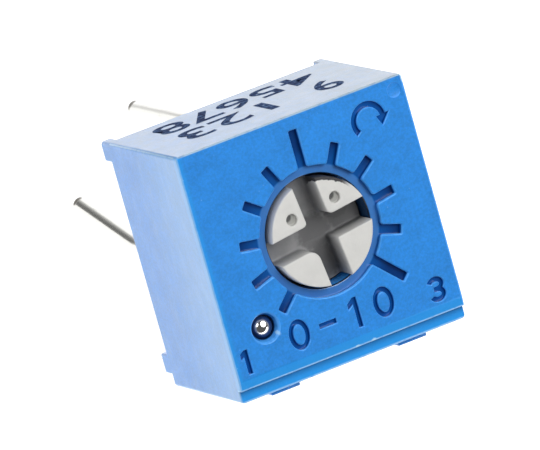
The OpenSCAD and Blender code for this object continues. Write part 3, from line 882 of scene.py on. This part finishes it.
def rotor_plastic(finish, sizes):
    """Off-white moulded plastic, with painted shade deeper in the cross slot and in the dimples, painted shadows in
    the slot and along the rim, and grit in the slot.
    """
    made, net = material("rotor_plastic")
    top = ROTOR_HIGH.z
    down = top - net.axes()[2]
    depth = net.step(down, -0.15, 0.80)
    grain = net.noise(11, 4, 0.65)
    cloud = net.noise(2.1, 3)
    body = net.mix(finish.rotor, tuple(c * 0.84 for c in finish.rotor), net.step(cloud, 0.35, 0.8) * 0.4)
    body = net.mix(body, tuple(c * 0.7 for c in finish.rotor), net.step(grain, 0.62, 0.85) * 0.4)
    # Painted shade, darker deeper in the slot and blotched.
    depth_shade = depth * (0.80 + net.noise(3.2, 3) * 0.25)
    body = net.mix(body, finish.rotor_slot_shade, depth_shade)
    # Painted shadows on the slot's floor, deep in the slot only.
    slot_shadow_mask = 0.0
    for spot, radius, ragged, strength in SLOT_SHADOWS:
        one_shadow = net.near(Vector((DIAL.x, DIAL.y, top)) + Vector(spot), radius, ragged) * strength
        slot_shadow_mask = one_shadow.max(slot_shadow_mask)
    slot_shadow_mask = slot_shadow_mask * net.step(down, 0.4, 0.7)
    body = net.mix(body, tuple(c * 0.35 for c in finish.rotor_slot_shade), slot_shadow_mask * 0.75)
    grit = (1 - net.step(net.cells(6.5), 0.05, 0.13)) * net.step(net.noise(2.3, 1), 0.52, 0.66)
    body = net.mix(body, (0.10, 0.10, 0.10), grit * depth * 0.6)
    for turn in (45 + degrees(sizes.setting), 135 + degrees(sizes.setting)):
        spot = (*arc(DIAL, sizes.dimple_place / MM, turn, turn, 1)[0], top - 0.1)
        # Painted shade in the two dimples, darkest towards their upper left.
        pit = net.near(spot, 0.17) * net.step(down, 0.01, 0.05)
        shaded = net.near(Vector(spot) + Vector((-0.09, 0.09, 0)), 0.16)
        body = net.mix(body, net.mix((0.34, 0.34, 0.32), (0.06, 0.06, 0.06), shaded), pit)
    # Painted shadow along the top of the hub's rim.
    rim_shadow = net.near((DIAL.x + 0.42, DIAL.y + 1.34, top), 0.85)
    off = net.distance((DIAL.x, DIAL.y, top)) + (net.noise(6, 3, 0.6) - 0.5) * 0.12
    off = off - sizes.hub_radius / MM
    body = net.mix(body, (0.008, 0.008, 0.011), rim_shadow * net.step(off, -0.105, -0.085))
    net.surface(Base_Color=body, Roughness=0.5 + grain * 0.15, Normal=net.bump(grain, 0.006))
    return made


def tinned_wire(finish):
    """Bright tin on copper wire: drawn lines along it and a dark, sheared edge at the tip."""
    made, net = material("tinned_wire")
    streak = net.noise(9, 3, 0.6, (1, 1, 0.08))
    patch = net.noise(1.6, 3)
    body = net.mix(finish.wire, tuple(c * 0.8 for c in finish.wire), net.step(streak, 0.45, 0.75) * 0.6)
    body = net.mix(body, (0.29, 0.28, 0.25), net.step(patch, 0.55, 0.8) * 0.5)
    tips = [(*spot, LEAD_TIP) for name, spot in LEADS.items() if name != "lead_1"] + [LEANING_TIP]
    dark = 0.0
    for tip in tips:
        dark = net.near(Vector(tip) + Vector(SHEARED_SIDE), 0.24, 0.12) + dark
    body = net.mix(body, (0.10, 0.09, 0.075), dark.min(1) * 0.9)
    net.surface(Base_Color=body, Metallic=1 - dark.min(1) * 0.6, Roughness=0.15 + streak * 0.08 + dark * 0.3,
                Normal=net.bump(streak, 0.002))
    return made


def cured_resin(finish):
    """Amber resin, cured in the back of the shell, with a slightly cloudy skin."""
    made, net = material("cured_resin")
    cloud = net.noise(1.2, 4, 0.6)
    body = net.mix(finish.resin, tuple(c * 0.55 for c in finish.resin), net.step(cloud, 0.35, 0.75) * 0.7)
    specks = 1 - net.step(net.cells(3.1), 0.06, 0.12)
    body = net.mix(body, (0.75, 0.66, 0.48), specks * 0.4)
    net.surface(Base_Color=body, Roughness=0.22 + cloud * 0.15, Coat_Weight=0.3,
                Normal=net.bump(net.noise(2.2, 2), 0.01))
    return made


def steel_ball(centre):
    """Polished steel on its crown, and round it a dark blue painted reflection of the hole's shaded wall."""
    made, net = material("steel_ball")
    worn = net.noise(7, 3)
    crown = net.near(centre + Vector((-0.061, 0.037, 0.312)), 0.225, 0.03)
    # Dark blue painted reflection round the polished crown.
    body = net.mix((0.012, 0.035, 0.12), (0.86, 0.86, 0.86), crown)
    net.surface(Base_Color=body, Metallic=crown, Roughness=0.42 - crown * 0.35, Normal=net.bump(worn, 0.0004))
    return made


def plain_metal(name, colour_value, roughness, scale=6, relief=0.002):
    """A bare metal with light and dark patches and a fine relief."""
    made, net = material(name)
    patch = net.noise(scale, 3, 0.6)
    body = net.mix(colour_value, tuple(c * 0.75 for c in colour_value), net.step(patch, 0.4, 0.75) * 0.5)
    net.surface(Base_Color=body, Metallic=1.0, Roughness=roughness + patch * 0.08,
                Normal=net.bump(patch, relief))
    return made


def plain_solid(name, colour_value, roughness, scale=6, relief=0.004):
    """A dull solid, such as ceramic, rubber or printed film, with light mottling and grain."""
    made, net = material(name)
    grain = net.noise(scale, 4, 0.6)
    body = net.mix(colour_value, tuple(c * 0.72 for c in colour_value), net.step(grain, 0.4, 0.75) * 0.5)
    net.surface(Base_Color=body, Roughness=roughness + grain * 0.15, Normal=net.bump(grain, relief))
    return made


def printed_ink(finish):
    """Dark printing ink, thin and pale in places, over the blue body."""
    made, net = material("printed_ink")
    thin = net.noise(6, 4, 0.7)
    body = net.mix(finish.ink, (0.07, 0.13, 0.28), net.step(thin, 0.42, 0.60) * 0.8)
    body = net.mix(body, (0.40, 0.52, 0.72), net.step(thin, 0.60, 0.70) * 0.7)
    net.surface(Base_Color=body, Roughness=0.8 + thin * 0.2, Normal=net.bump(thin, 0.002),
                Specular_IOR_Level=0.12)
    return made


# ---- the shell ----

def body_block(sizes):
    """The outer body, with the sloping band and the lip along its lower front, and round edges."""
    body = block((SHELL_LOW.x, BOTTOM_Y, FOOT_H), (SHELL_HIGH.x, TOP_Y - INK, FACE_Z))
    for cut_y in (LIP_Y - HAIR, LIP_Y, BAND_Y):
        pick(body, "faces", lambda middle, normal: True)
        bpy.ops.mesh.bisect(plane_co=(0, cut_y, 0), plane_no=(0, 1, 0))
        close_edit(body)
    for high_y, drop in ((LIP_Y + HAIR / 2, BAND_DROP), (LIP_Y - HAIR / 2, LIP_DROP - BAND_DROP)):
        pick(body, "vertices", lambda spot: spot.z > FACE_Z - LIP_DROP and spot.y < high_y)
        bpy.ops.transform.translate(value=(0, 0, -drop))
        close_edit(body)
    merge(body)
    ceiling = inner_z()

    def long_edge(a, b):
        """Tells the four edges that run from the back to the face."""
        outer_y = min(abs(a.y - TOP_Y + INK), abs(a.y - BOTTOM_Y))
        return abs(a.z - b.z) > 1 and abs(a.x) > SHELL_HIGH.x - HAIR and outer_y < HAIR

    def band_edge(a, b):
        """Tells the edge where the sloping band meets the face."""
        return max(abs(a.y - BAND_Y), abs(b.y - BAND_Y)) < HAIR and a.z + b.z > 2 * ceiling

    round_edges(body, sizes.corner_radius / MM, 5, long_edge)
    return round_sharp(body, sizes.edge_radius / MM, 3, 30, band_edge)


def inner_z():
    """The height of the pocket's ceiling."""
    return FACE_Z - bpy.context.scene.trimmer_shell.face_wall / MM


def feet_and_pads(sizes):
    """The four feet on the back rim and the two pads under the bottom side."""
    pieces = []
    for side in (-1, 1):
        for low in (FOOT_LIFT, BODY_H - FOOT_LENGTH - INK):
            outer, inner = side * SHELL_HIGH.x, side * (SHELL_HIGH.x - FOOT_WIDTH)
            y = BOTTOM_Y + low
            foot = block((min(outer, inner), y, 0),
                         (max(outer, inner), y + FOOT_LENGTH, FOOT_H + FOOT_ROOT))
            if low > FOOT_LIFT:
                round_edges(foot, sizes.corner_radius / MM, 5,
                            lambda a, b: min(a.x * side, b.x * side) > SHELL_HIGH.x - HAIR
                            and min(a.y, b.y) > TOP_Y - 2 * INK)
            pieces.append(round_sharp(foot, sizes.edge_radius / MM, 3, 30))
        x = side * PAD_PITCH / 2
        pad = block((x - PAD_WIDTH / 2, SHELL_LOW.y, FOOT_H),
                    (x + PAD_WIDTH / 2, BOTTOM_Y + PAD_ROOT, FACE_Z - PAD_SETBACK))
        pieces.append(round_sharp(pad, sizes.edge_radius / MM, 3, 30))
    return pieces


def extruded(outlines, low, high, bevel=0.0):
    """A flat outline drawn out between two heights, with its upper and lower rims rounded."""
    obj = outline_curve("outline", outlines)
    curve = obj.data
    curve.extrude = (high - low) / 2 - bevel
    curve.bevel_depth = bevel
    curve.bevel_resolution = 3
    curve.offset = -bevel
    activate(obj)
    bpy.ops.object.convert(target="MESH")
    obj = bpy.context.object
    obj.location = (0, 0, (low + high) / 2)
    return merge(settle(obj))


def mark_cutter(outlines, depth, lip):
    """A solid that sinks flat marks into the face, shaped so that their lips come out round."""
    far, top = BODY_W, FACE_Z + HAIR
    floor = FACE_Z - depth / MM
    frame_line = [(-far, -far), (far, -far), (far, far), (-far, far)]
    layer = extruded([frame_line, *outlines], floor - LAYER_SPARE, top, lip / MM)
    reach = BODY_W * 0.8
    return combine(block((-reach, -reach, floor), (reach, reach, FACE_Z + 1)), "DIFFERENCE", layer)


def shell_cutters(sizes):
    """The pocket, the seal's seat, the bore, the vent and the round mould mark."""
    ceiling = inner_z()
    pocket = block((-POCKET_X, MIDDLE_Y - POCKET_Y, -1), (POCKET_X, MIDDLE_Y + POCKET_Y, ceiling))
    round_edges(pocket, POCKET_CORNER, 6, lambda a, b: abs(a.z - b.z) > 1)
    seat = lathe(DIAL, [(SEAT_RADIUS, ceiling - 0.5), (SEAT_RADIUS, SEAT_TOP)], 96)
    bore, floor, rim = sizes.bore_radius / MM, FACE_Z - sizes.mark_depth / MM, sizes.lip_radius / MM
    flare = [(bore + rim * (1 - cos(t)), floor - rim + rim * sin(t)) for t in (0, pi / 6, pi / 3, pi / 2)]
    hole = lathe(DIAL, [(bore, ceiling - 0.5), *flare, (bore + rim, FACE_Z + 1)], 128)
    r, lip, wide = (BALL_HIGH.x - BALL_LOW.x) / 2, VENT_LIP, SINK_RADIUS + VENT_LIP * 0.5
    vent = lathe(VENT.xy, [(r, ceiling - 0.5), (r, FACE_Z - SINK_DEPTH),
                           (SINK_RADIUS - lip, FACE_Z - lip * 0.8),
                           (SINK_RADIUS - lip * 0.3, FACE_Z - lip * 0.25),
                           (wide, FACE_Z + HAIR), (wide, FACE_Z + 1)], 64)
    deep, wall = FACE_Z - MOULD_MARK_DEPTH, MOULD_MARK_RADIUS
    mould_mark = lathe((MOULD_MARK_X, MOULD_MARK_Y),
                       [(wall - 0.02, deep), (wall, deep + 0.006),
                        (wall + 0.01, FACE_Z + HAIR), (wall + 0.01, FACE_Z + 1)], 64)
    return [pocket, seat, hole, vent, mould_mark]


def posts_and_stop():
    """The posts that the ceramic plate seats on, and the rib that stops the rotor's lug."""
    pieces = []
    ceiling, seat = inner_z(), PLATE_HIGH.z
    for sx in (-1, 1):
        for sy in (-1, 1):
            xs = sorted((sx * (POCKET_X - POST), sx * (POCKET_X + SEATED)))
            ys = sorted((MIDDLE_Y + sy * (POCKET_Y - POST), MIDDLE_Y + sy * (POCKET_Y + SEATED)))
            pieces.append(block((xs[0], ys[0], seat), (xs[1], ys[1], ceiling + SEATED)))
    half = radians(STOP_HALF)
    inner = arc(DIAL, STOP_RADIUS, 270 - STOP_HALF, 270 + STOP_HALF, 16)
    foot_y = MIDDLE_Y - POCKET_Y - SEATED
    drop = DIAL.y - foot_y
    outline = inner + [(DIAL.x + drop * sin(half) / cos(half), foot_y),
                       (DIAL.x - drop * sin(half) / cos(half), foot_y)]
    pieces.append(extruded([outline], STOP_LOW, ceiling + SEATED))
    return pieces


def lit_lips(shell, depth):
    """Writes on each face how far it leans to the light, if it is on the lip of a sunk mark."""
    lips = shell.data.attributes.new("lip", "FLOAT", "FACE")
    for face, lip in zip(shell.data.polygons, lips.data):
        on_lip = FACE_Z - depth * 0.6 < face.center.z < FACE_Z - HAIR and 0.1 < face.normal.z < 0.995
        in_face = abs(face.center.x) < SHELL_HIGH.x - 0.15 and BAND_Y < face.center.y < TOP_Y - 0.15
        lean = face.normal.dot(Vector((-0.41, 0.91, 0)))
        lip.value = max(0, lean) ** 0.5 if on_lip and in_face else 0


class TRIMMER_OT_shell(Operator):
    """Models the moulded shell, with its dial, figures, feet, pads and pocket"""
    bl_idname = "trimmer.shell"
    bl_label = "Moulded Shell"

    def execute(self, context):
        sizes = context.scene.trimmer_shell
        shell = body_block(sizes)
        combine(shell, "UNION", *feet_and_pads(sizes))
        lip = sizes.lip_radius
        figures = [mark_cutter(outlines, sizes.figure_depth, sizes.figure_lip)
                   for outlines in figure_marks(sizes)]
        combine(shell, "DIFFERENCE", mark_cutter([dial_outline(sizes)], sizes.mark_depth, lip),
                *figures, *shell_cutters(sizes))
        combine(shell, "UNION", *posts_and_stop())
        lit_lips(merge(shell), sizes.mark_depth / MM)
        real_size(shell, "shell", "case", "body_plastic", "housing", smooth=32)
        wear(shell, shell_plastic(context.scene.trimmer_finish, sizes))
        return {"FINISHED"}


# ---- the rotor ----

def quadrant_outlines(sizes, spare):
    """The four quadrants that stand between the arms of the cross, with a little spare."""
    hub, half = sizes.hub_radius / MM, sizes.slot_width / MM / 2 + spare
    side = degrees(asin(half / hub))
    outlines = []
    for i, bend in enumerate(QUADRANT_CORNERS):
        middle = (half + bend, half + bend)
        quadrant = arc((0, 0), hub, side, 90 - side, 24) + arc(middle, bend, 180, 270, 8)
        turn = radians(90 * i)
        outlines.append([(x * cos(turn) - y * sin(turn), x * sin(turn) + y * cos(turn)) for x, y in quadrant])
    return outlines


def cross_outline(sizes):
    """The cross between the quadrants, drawn out past the hub."""
    half, far = sizes.slot_width / MM / 2, 2 * sizes.hub_radius / MM
    outline = []
    for i, bend in enumerate(QUADRANT_CORNERS):
        middle = (half + bend, half + bend)
        corner = [(far, half)] + arc(middle, bend, 270, 180, 8) + [(half, far)]
        turn = radians(90 * i)
        outline += [(x * cos(turn) - y * sin(turn), x * sin(turn) + y * cos(turn)) for x, y in corner]
    return outline


class TRIMMER_OT_rotor(Operator):
    """Models the rotor, with its cross slot, dimples, flange, stop lug and stake pegs"""
    bl_idname = "trimmer.rotor"
    bl_label = "Rotor"

    def execute(self, context):
        sizes = context.scene.trimmer_rotor
        hub, top, rim = sizes.hub_radius / MM - HAIR, ROTOR_HIGH.z, sizes.rim_radius / MM
        floor, soft = top - sizes.slot_depth / MM, sizes.slot_floor / MM
        rotor = lathe((0, 0), [(FLANGE_RADIUS - 0.03, FLANGE_LOW), (FLANGE_RADIUS, FLANGE_LOW + 0.03),
                               (FLANGE_RADIUS, FLANGE_HIGH - 0.03), (FLANGE_RADIUS - 0.03, FLANGE_HIGH),
                               (hub + 0.03, FLANGE_HIGH), (hub, FLANGE_HIGH + 0.03),
                               (hub, floor + soft)], 128)
        lug = extruded([arc((0, 0), LUG_RADIUS, 90 - LUG_HALF, 90 + LUG_HALF, 16)
                        + arc((0, 0), hub - 0.1, 90 + LUG_HALF, 90 - LUG_HALF, 16)],
                       FLANGE_LOW + HAIR, FLANGE_HIGH - HAIR, 0.03)
        cross = extruded([cross_outline(sizes)], floor, top + 1, soft)
        dimple, deep = sizes.dimple_radius / MM, top - sizes.dimple_depth / MM
        spots = [arc((0, 0), sizes.dimple_place / MM, turn, turn, 1)[0] for turn in (45, 135)]
        outlines = quadrant_outlines(sizes, HAIR) + [arc(spot, dimple, 0, 348.75, 31) for spot in spots]
        quadrants = extruded(outlines, floor - 0.15, top, rim)
        plugs = [lathe(spot, [(dimple + SEATED, floor - 0.1), (dimple + SEATED, deep)], 32) for spot in spots]
        combine(rotor, "UNION", lug)
        combine(rotor, "DIFFERENCE", cross)
        combine(rotor, "UNION", quadrants, *plugs)
        for side in (-1, 1):
            spot = arc((0, 0), PEG_PLACE, side * PEG_TURN, side * PEG_TURN, 1)[0]
            combine(rotor, "UNION",
                    lathe(spot, [(PEG_HEAD, ROTOR_LOW.z), (PEG_RADIUS, ROTOR_LOW.z + 0.08),
                                 (PEG_RADIUS, FLANGE_LOW + 0.1)], 32))
        merge(rotor)
        rotor.rotation_euler = (0, 0, sizes.setting)
        rotor.location = (DIAL.x, DIAL.y, 0)
        settle(rotor)
        real_size(rotor, "dial_rotor", "rotor", "rotor_plastic", "rotor", smooth=32)
        wear(rotor, rotor_plastic(context.scene.trimmer_finish, sizes))
        return {"FINISHED"}


# ---- leads, resin and ball ----

def straight_lead(spot, sizes, top):
    """A squared upper end on a straight round wire with a chamfered tip."""
    r, chamfer, tip = sizes.wire_radius / MM, sizes.chamfer / MM, LEAD_TIP
    wire = lathe(spot, [(r - chamfer, tip), (r - chamfer * 0.3, tip + chamfer * 0.5), (r, tip + chamfer),
                        (r, WIRE_TOP)], 32)
    return combine(wire, "UNION", squared_end(spot, sizes, top))


def squared_end(spot, sizes, top):
    """The squared end that stands in the resin and the ceramic plate."""
    half = sizes.square / MM / 2
    end = block((spot[0] - half, spot[1] - half, WIRE_TOP - SEATED), (spot[0] + half, spot[1] + half, top))
    return round_sharp(end, 0.03, 2, 30)


def leaning_lead(spot, sizes, top):
    """The lead that leaves straight and then curves over."""
    r, chamfer = sizes.wire_radius / MM, sizes.chamfer / MM
    knee = FOOT_H - sizes.straight / MM
    bend, lean = sizes.bend_radius / MM, sizes.lean
    way = Vector((cos(sizes.way), sin(sizes.way), 0))
    across = Vector((-way.y, way.x, 0))
    start = Vector((spot[0], spot[1], knee))
    deselect()
    bpy.ops.mesh.primitive_circle_add(vertices=32, radius=r, fill_type="NGON",
                                      location=(spot[0], spot[1], WIRE_TOP))
    wire = settle(bpy.context.object)
    pick(wire, "faces", lambda middle, normal: True)
    bpy.ops.mesh.extrude_region_move(TRANSFORM_OT_translate={"value": (0, 0, knee - WIRE_TOP)})
    bpy.ops.mesh.spin(steps=10, angle=lean, center=start + way * bend, axis=across)
    down = -Vector((0, 0, 1)) * cos(lean) + way * sin(lean)
    end = start + way * bend * (1 - cos(lean)) - Vector((0, 0, 1)) * bend * sin(lean)
    run = knee - LEAD_TIP - bend * lean - sizes.cut / MM
    for reach, share in ((run - chamfer, 1), (chamfer * 0.5, 1 - chamfer * 0.3 / r),
                         (chamfer * 0.5, (r - chamfer) / (r - chamfer * 0.3))):
        bpy.ops.mesh.extrude_region_move(TRANSFORM_OT_translate={"value": down * reach})
        end = end + down * reach
        bpy.ops.transform.resize(value=(share, share, share), center_override=end)
    close_edit(wire)
    merge(wire)
    return combine(wire, "UNION", squared_end(spot, sizes, top))


class TRIMMER_OT_leads(Operator):
    """Models the three leads, each with its squared upper end"""
    bl_idname = "trimmer.leads"
    bl_label = "Leads"

    def execute(self, context):
        sizes = context.scene.trimmer_leads
        metal = tinned_wire(context.scene.trimmer_finish)
        for name, spot in LEADS.items():
            make = leaning_lead if name == "lead_1" else straight_lead
            wire = merge(make(spot, sizes, in_mm(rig.box(name))[1].z))
            real_size(wire, "wire_" + name[-1], "case", "lead_tin", name, smooth=25)
            wear(wire, metal)
        return {"FINISHED"}


class TRIMMER_OT_resin(Operator):
    """Models the resin in the back of the shell, drawn up along the walls and the leads"""
    bl_idname = "trimmer.resin"
    bl_label = "Back Resin"

    def execute(self, context):
        low, high = RESIN_LOW, RESIN_HIGH
        deselect()
        bpy.ops.mesh.primitive_grid_add(x_subdivisions=72, y_subdivisions=72, size=1,
                                        location=(0, MIDDLE_Y, low.z))
        resin = bpy.context.object
        resin.scale = (2 * POCKET_X, 2 * POCKET_Y, 1)
        settle(resin)
        pick(resin, "vertices", lambda p: max(abs(p.x) - POCKET_X, abs(p.y - MIDDLE_Y) - POCKET_Y) > -0.02)
        bpy.ops.transform.translate(value=(0, 0, -CREEP), use_proportional_edit=True,
                                    proportional_edit_falloff="SHARP", proportional_size=0.45)
        close_edit(resin)
        for spot in LEADS.values():
            pick(resin, "vertices", lambda p: (p.xy - Vector(spot)).length < 0.25)
            bpy.ops.transform.translate(value=(0, 0, -CREEP / 2), use_proportional_edit=True,
                                        proportional_edit_falloff="SHARP", proportional_size=0.3)
            close_edit(resin)
        pick(resin, "faces", lambda middle, normal: True)
        bpy.ops.mesh.extrude_region_move(TRANSFORM_OT_translate={"value": (0, 0, high.z - low.z)})
        bpy.ops.transform.resize(value=(1, 1, 0), center_override=(0, MIDDLE_Y, high.z))
        close_edit(resin)
        merge(resin)
        rounded = block((low.x, low.y, low.z - 1), (high.x, high.y, high.z + 1))
        round_edges(rounded, POCKET_CORNER, 6, lambda a, b: abs(a.z - b.z) > 1)
        combine(resin, "INTERSECT", rounded)
        half = context.scene.trimmer_leads.square / MM / 2
        for x, y in LEADS.values():
            socket = block((x - half, y - half, low.z - 1), (x + half, y + half, high.z + 1))
            combine(resin, "DIFFERENCE", socket)
        merge(resin)
        real_size(resin, "back_resin", "case", "resin", "potting", smooth=40)
        wear(resin, cured_resin(context.scene.trimmer_finish))
        return {"FINISHED"}


class TRIMMER_OT_ball(Operator):
    """Models the steel ball that closes the vent hole"""
    bl_idname = "trimmer.ball"
    bl_label = "Vent Ball"

    def execute(self, context):
        deselect()
        bpy.ops.mesh.primitive_uv_sphere_add(segments=48, ring_count=24, location=VENT,
                                             radius=(BALL_HIGH.x - BALL_LOW.x) / 2)
        ball = settle(bpy.context.object)
        pick(ball, "faces", lambda middle, normal: normal.z < -0.9)
        bpy.ops.mesh.inset(thickness=0.01)
        close_edit(ball)
        real_size(ball, "steel_ball", "case", "ball_steel", "vent_ball", smooth=60)
        wear(ball, steel_ball(VENT))
        return {"FINISHED"}


class TRIMMER_OT_ink(Operator):
    """Prints plain figures on the upper side"""
    bl_idname = "trimmer.ink"
    bl_label = "Printed Figures"

    def execute(self, context):
        rows = [ink_figures(body, low, high) for body, low, high in INK_ROWS]
        figures = activate(*rows)
        bpy.ops.object.join()
        merge(figures)
        figures.rotation_euler = (radians(90), 0, radians(180))
        settle(figures)
        low = min(v.co.y for v in figures.data.vertices)
        figures.location = (0, TOP_Y - INK * 2 - HAIR - low, 0)
        settle(figures)
        real_size(figures, "printed_figures", "case", "body_plastic", smooth=30)
        wear(figures, printed_ink(context.scene.trimmer_finish))
        return {"FINISHED"}


class TRIMMER_OT_inner(Operator):
    """Gives each hidden part of the mechanism its own finish"""
    bl_idname = "trimmer.inner"
    bl_label = "Inner Parts"

    def execute(self, context):
        nodes = frame["nodes"]
        conductor = plain_metal("silver_film", (0.72, 0.71, 0.68), 0.38, 9)
        joint = plain_metal("solder_joint", (0.66, 0.67, 0.70), 0.3, 4, 0.006)
        finishes = {
            "seal_ring": plain_solid("seal_rubber", (0.02, 0.02, 0.022), 0.55, 8),
            "wiper": plain_metal("spring_sheet", (0.78, 0.60, 0.33), 0.25, 5),
            "substrate": plain_solid("ceramic_plate", (0.80, 0.79, 0.74), 0.6, 12),
            "resistor_track": plain_solid("track_film", (0.03, 0.026, 0.024), 0.45, 16),
            "end_pad_1": conductor, "end_pad_3": conductor, "collector": conductor,
            "solder_1": joint, "solder_2": joint, "solder_3": joint,
        }
        for name, made in finishes.items():
            wear(nodes[name], made)
        return {"FINISHED"}


# ---- stage ----

def lamp(name, towards, distance, size, level):
    """A large soft lamp that gives a facing surface so many times its own colour."""
    way = Vector(towards).normalized()
    deselect()
    bpy.ops.object.light_add(type="AREA", location=Vector((0, 0, FACE_Z / 2 * MM)) + way * distance)
    obj = bpy.context.object
    obj.name = name
    obj.rotation_euler = way.to_track_quat("Z", "Y").to_euler()
    obj.data.shape = "DISK"
    obj.data.size = size
    obj.data.energy = level * (pi * distance) ** 2
    obj.visible_glossy = False
    return obj


class TRIMMER_OT_stage(Operator):
    """Sets the floor, the surroundings, the lamps and the camera"""
    bl_idname = "trimmer.stage"
    bl_label = "Stage"

    def execute(self, context):
        stage = context.scene.trimmer_stage
        self.floor(stage)
        self.surroundings(context.scene, stage)
        lamp("key", KEY_WAY, 0.16, 0.13, 0.80)
        lamp("side", (-1.0, -0.1, 0.10), 0.16, 0.10, 0.40)
        self.camera(context.scene, stage)
        context.scene.view_settings.view_transform = "Standard"
        return {"FINISHED"}

    def floor(self, stage):
        """The pale floor that the leads stand on; it keeps a soft shadow."""
        deselect()
        bpy.ops.mesh.primitive_plane_add(size=FLOOR_SIZE, location=(0, 0, FRAME_BOX[0].z))
        floor = settle(bpy.context.object)
        floor.name = "floor"
        made, net = material("floor")
        seen = net.add("ShaderNodeLightPath", output="Is Camera Ray")
        through = net.add("ShaderNodeLightPath", output="Is Transmission Ray")
        dull = net.add("ShaderNodeBsdfDiffuse", None, {"Color": (*[0.5 * c for c in stage.background], 1)})
        strength = seen * 0.92 + through
        glow = net.add("ShaderNodeEmission", None, {"Color": (*stage.background, 1), "Strength": strength})
        both = net.add("ShaderNodeAddShader", None, {0: dull, 1: glow})
        net.add("ShaderNodeOutputMaterial", None, {"Surface": both})
        wear(floor, made)
        floor.visible_glossy = False
        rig.stage(floor)

    def surroundings(self, scene, stage):
        """White to the camera, even on dull surfaces, and a pale studio with soft boxes to gloss."""
        world = bpy.data.worlds.new("surroundings")
        world.use_nodes = True
        scene.world = world
        net = Net(world.node_tree)
        way = net.add("ShaderNodeTexCoord", output="Generated")
        seen = net.add("ShaderNodeLightPath", output="Is Camera Ray")
        mirrored = net.add("ShaderNodeLightPath", output="Is Glossy Ray")
        through = net.add("ShaderNodeLightPath", output="Is Transmission Ray")
        dull = 1 - (seen + mirrored + through).min(1)
        strength = seen + through + mirrored * self.gloss(net, way) + dull * stage.ambient
        shader = net.add("ShaderNodeBackground", None, {"Color": (*stage.background, 1),
                                                        "Strength": strength})
        net.add("ShaderNodeOutputWorld", None, {"Surface": shader})

    def gloss(self, net, way):
        """How bright each direction looks in a mirror: table, soft boxes, and the dark of the room."""
        def towards(*aim):
            """How nearly a direction points one way, from -1 to 1."""
            return net.add("ShaderNodeVectorMath", {"operation": "DOT_PRODUCT"},
                           {0: way, 1: Vector(aim).normalized()}, output="Value")

        x, y, z = (net.add("ShaderNodeSeparateXYZ", None, {0: way}, output=i) for i in range(3))
        table = 1 - net.step(z, 0.0, 0.2)
        along, across = x * 0.848 + y * 0.529, y * 0.848 - x * 0.529
        gap = net.step(across, 0.40, 0.48) * net.step(along, -0.29, -0.24) * (1 - net.step(along, 0.0, 1.05))
        gap = gap * (1 - net.step(z, -0.6, -0.5))
        box = net.step(towards(*KEY_WAY), 0.89, 0.94)
        side_box = net.step(towards(-0.672, 0.564, 0.48), 0.93, 0.97)
        ring = towards(-0.197, 0.013, 0.980)
        strip = net.step(ring, 0.28, 0.36) * (1 - net.step(ring, 0.55, 0.63)) * (1 - net.step(y, -0.35, -0.2))
        return table * (1 - gap * 0.9) * GLOSS_LEVEL + box * 6 + side_box * 4 + strip * 4 + 0.1

    def camera(self, scene, stage):
        """A long lens on the face, turned and moved to frame the whole part."""
        az, el, roll = stage.azimuth, stage.elevation, stage.roll
        back = Vector((cos(el) * cos(az), cos(el) * sin(az), sin(el)))
        level = Vector((-sin(az), cos(az), 0))
        rise = back.cross(level)
        right = level * cos(roll) + rise * sin(roll)
        up = rise * cos(roll) - level * sin(roll)
        aim = Vector((0, CENTRE_Y, FACE_Z)) * MM + right * stage.aside + up * stage.above
        turn = Matrix((right, up, back)).transposed().to_euler()
        deselect()
        bpy.ops.object.camera_add(location=aim + back * stage.distance, rotation=turn)
        camera = bpy.context.object
        camera.data.lens = stage.lens
        camera.data.clip_start = stage.distance / 10
        camera.data.clip_end = stage.distance * 20
        scene.camera = camera


# ---- sidebar and registration ----

class TRIMMER_PT_sidebar(Panel):
    """Lists the sizes, the colours and one button for each piece"""
    bl_idname = "TRIMMER_PT_sidebar"
    bl_label = "Trimmer Potentiometer"
    bl_space_type = "VIEW_3D"
    bl_region_type = "UI"
    bl_category = "Trimmer"

    def draw(self, context):
        for group, operators in GROUPS.items():
            box = self.layout.box()
            sizes = getattr(context.scene, group, None)
            for name in sizes.bl_rna.properties.keys() if sizes else ():
                if name not in ("rna_type", "name"):
                    box.prop(sizes, name)
            for operator in operators:
                box.operator(operator.bl_idname)


GROUPS = {
    "trimmer_shell": (TRIMMER_OT_shell,),
    "trimmer_rotor": (TRIMMER_OT_rotor,),
    "trimmer_leads": (TRIMMER_OT_leads, TRIMMER_OT_resin),
    "trimmer_finish": (TRIMMER_OT_ball, TRIMMER_OT_ink, TRIMMER_OT_inner),
    "trimmer_stage": (TRIMMER_OT_stage,),
}
SETTINGS = {
    "trimmer_shell": TrimmerShellSizes,
    "trimmer_rotor": TrimmerRotorSizes,
    "trimmer_leads": TrimmerLeadSizes,
    "trimmer_finish": TrimmerFinish,
    "trimmer_stage": TrimmerStage,
}


def register():
    """Registers the settings, the operators and the panel."""
    for name, group in SETTINGS.items():
        bpy.utils.register_class(group)
        setattr(bpy.types.Scene, name, PointerProperty(type=group))
    for operators in GROUPS.values():
        for operator in operators:
            bpy.utils.register_class(operator)
    bpy.utils.register_class(TRIMMER_PT_sidebar)


def unregister():
    """Takes back what register does."""
    bpy.utils.unregister_class(TRIMMER_PT_sidebar)
    for operators in GROUPS.values():
        for operator in operators:
            bpy.utils.unregister_class(operator)
    for name, group in SETTINGS.items():
        delattr(bpy.types.Scene, name)
        bpy.utils.unregister_class(group)


def main():
    """Builds everything in order and writes the two boxes to compare."""
    register()
    bpy.ops.trimmer.shell()
    bpy.ops.trimmer.rotor()
    bpy.ops.trimmer.leads()
    bpy.ops.trimmer.resin()
    bpy.ops.trimmer.ball()
    bpy.ops.trimmer.ink()
    bpy.ops.trimmer.inner()
    bpy.ops.trimmer.stage()
    boxes = {"cad": FRAME_BOX, "visual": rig.bounds()}
    with open("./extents.json", "w") as out:
        json.dump({name: [list(corner) for corner in box] for name, box in boxes.items()}, out)


if __name__ == "__main__":
    main()
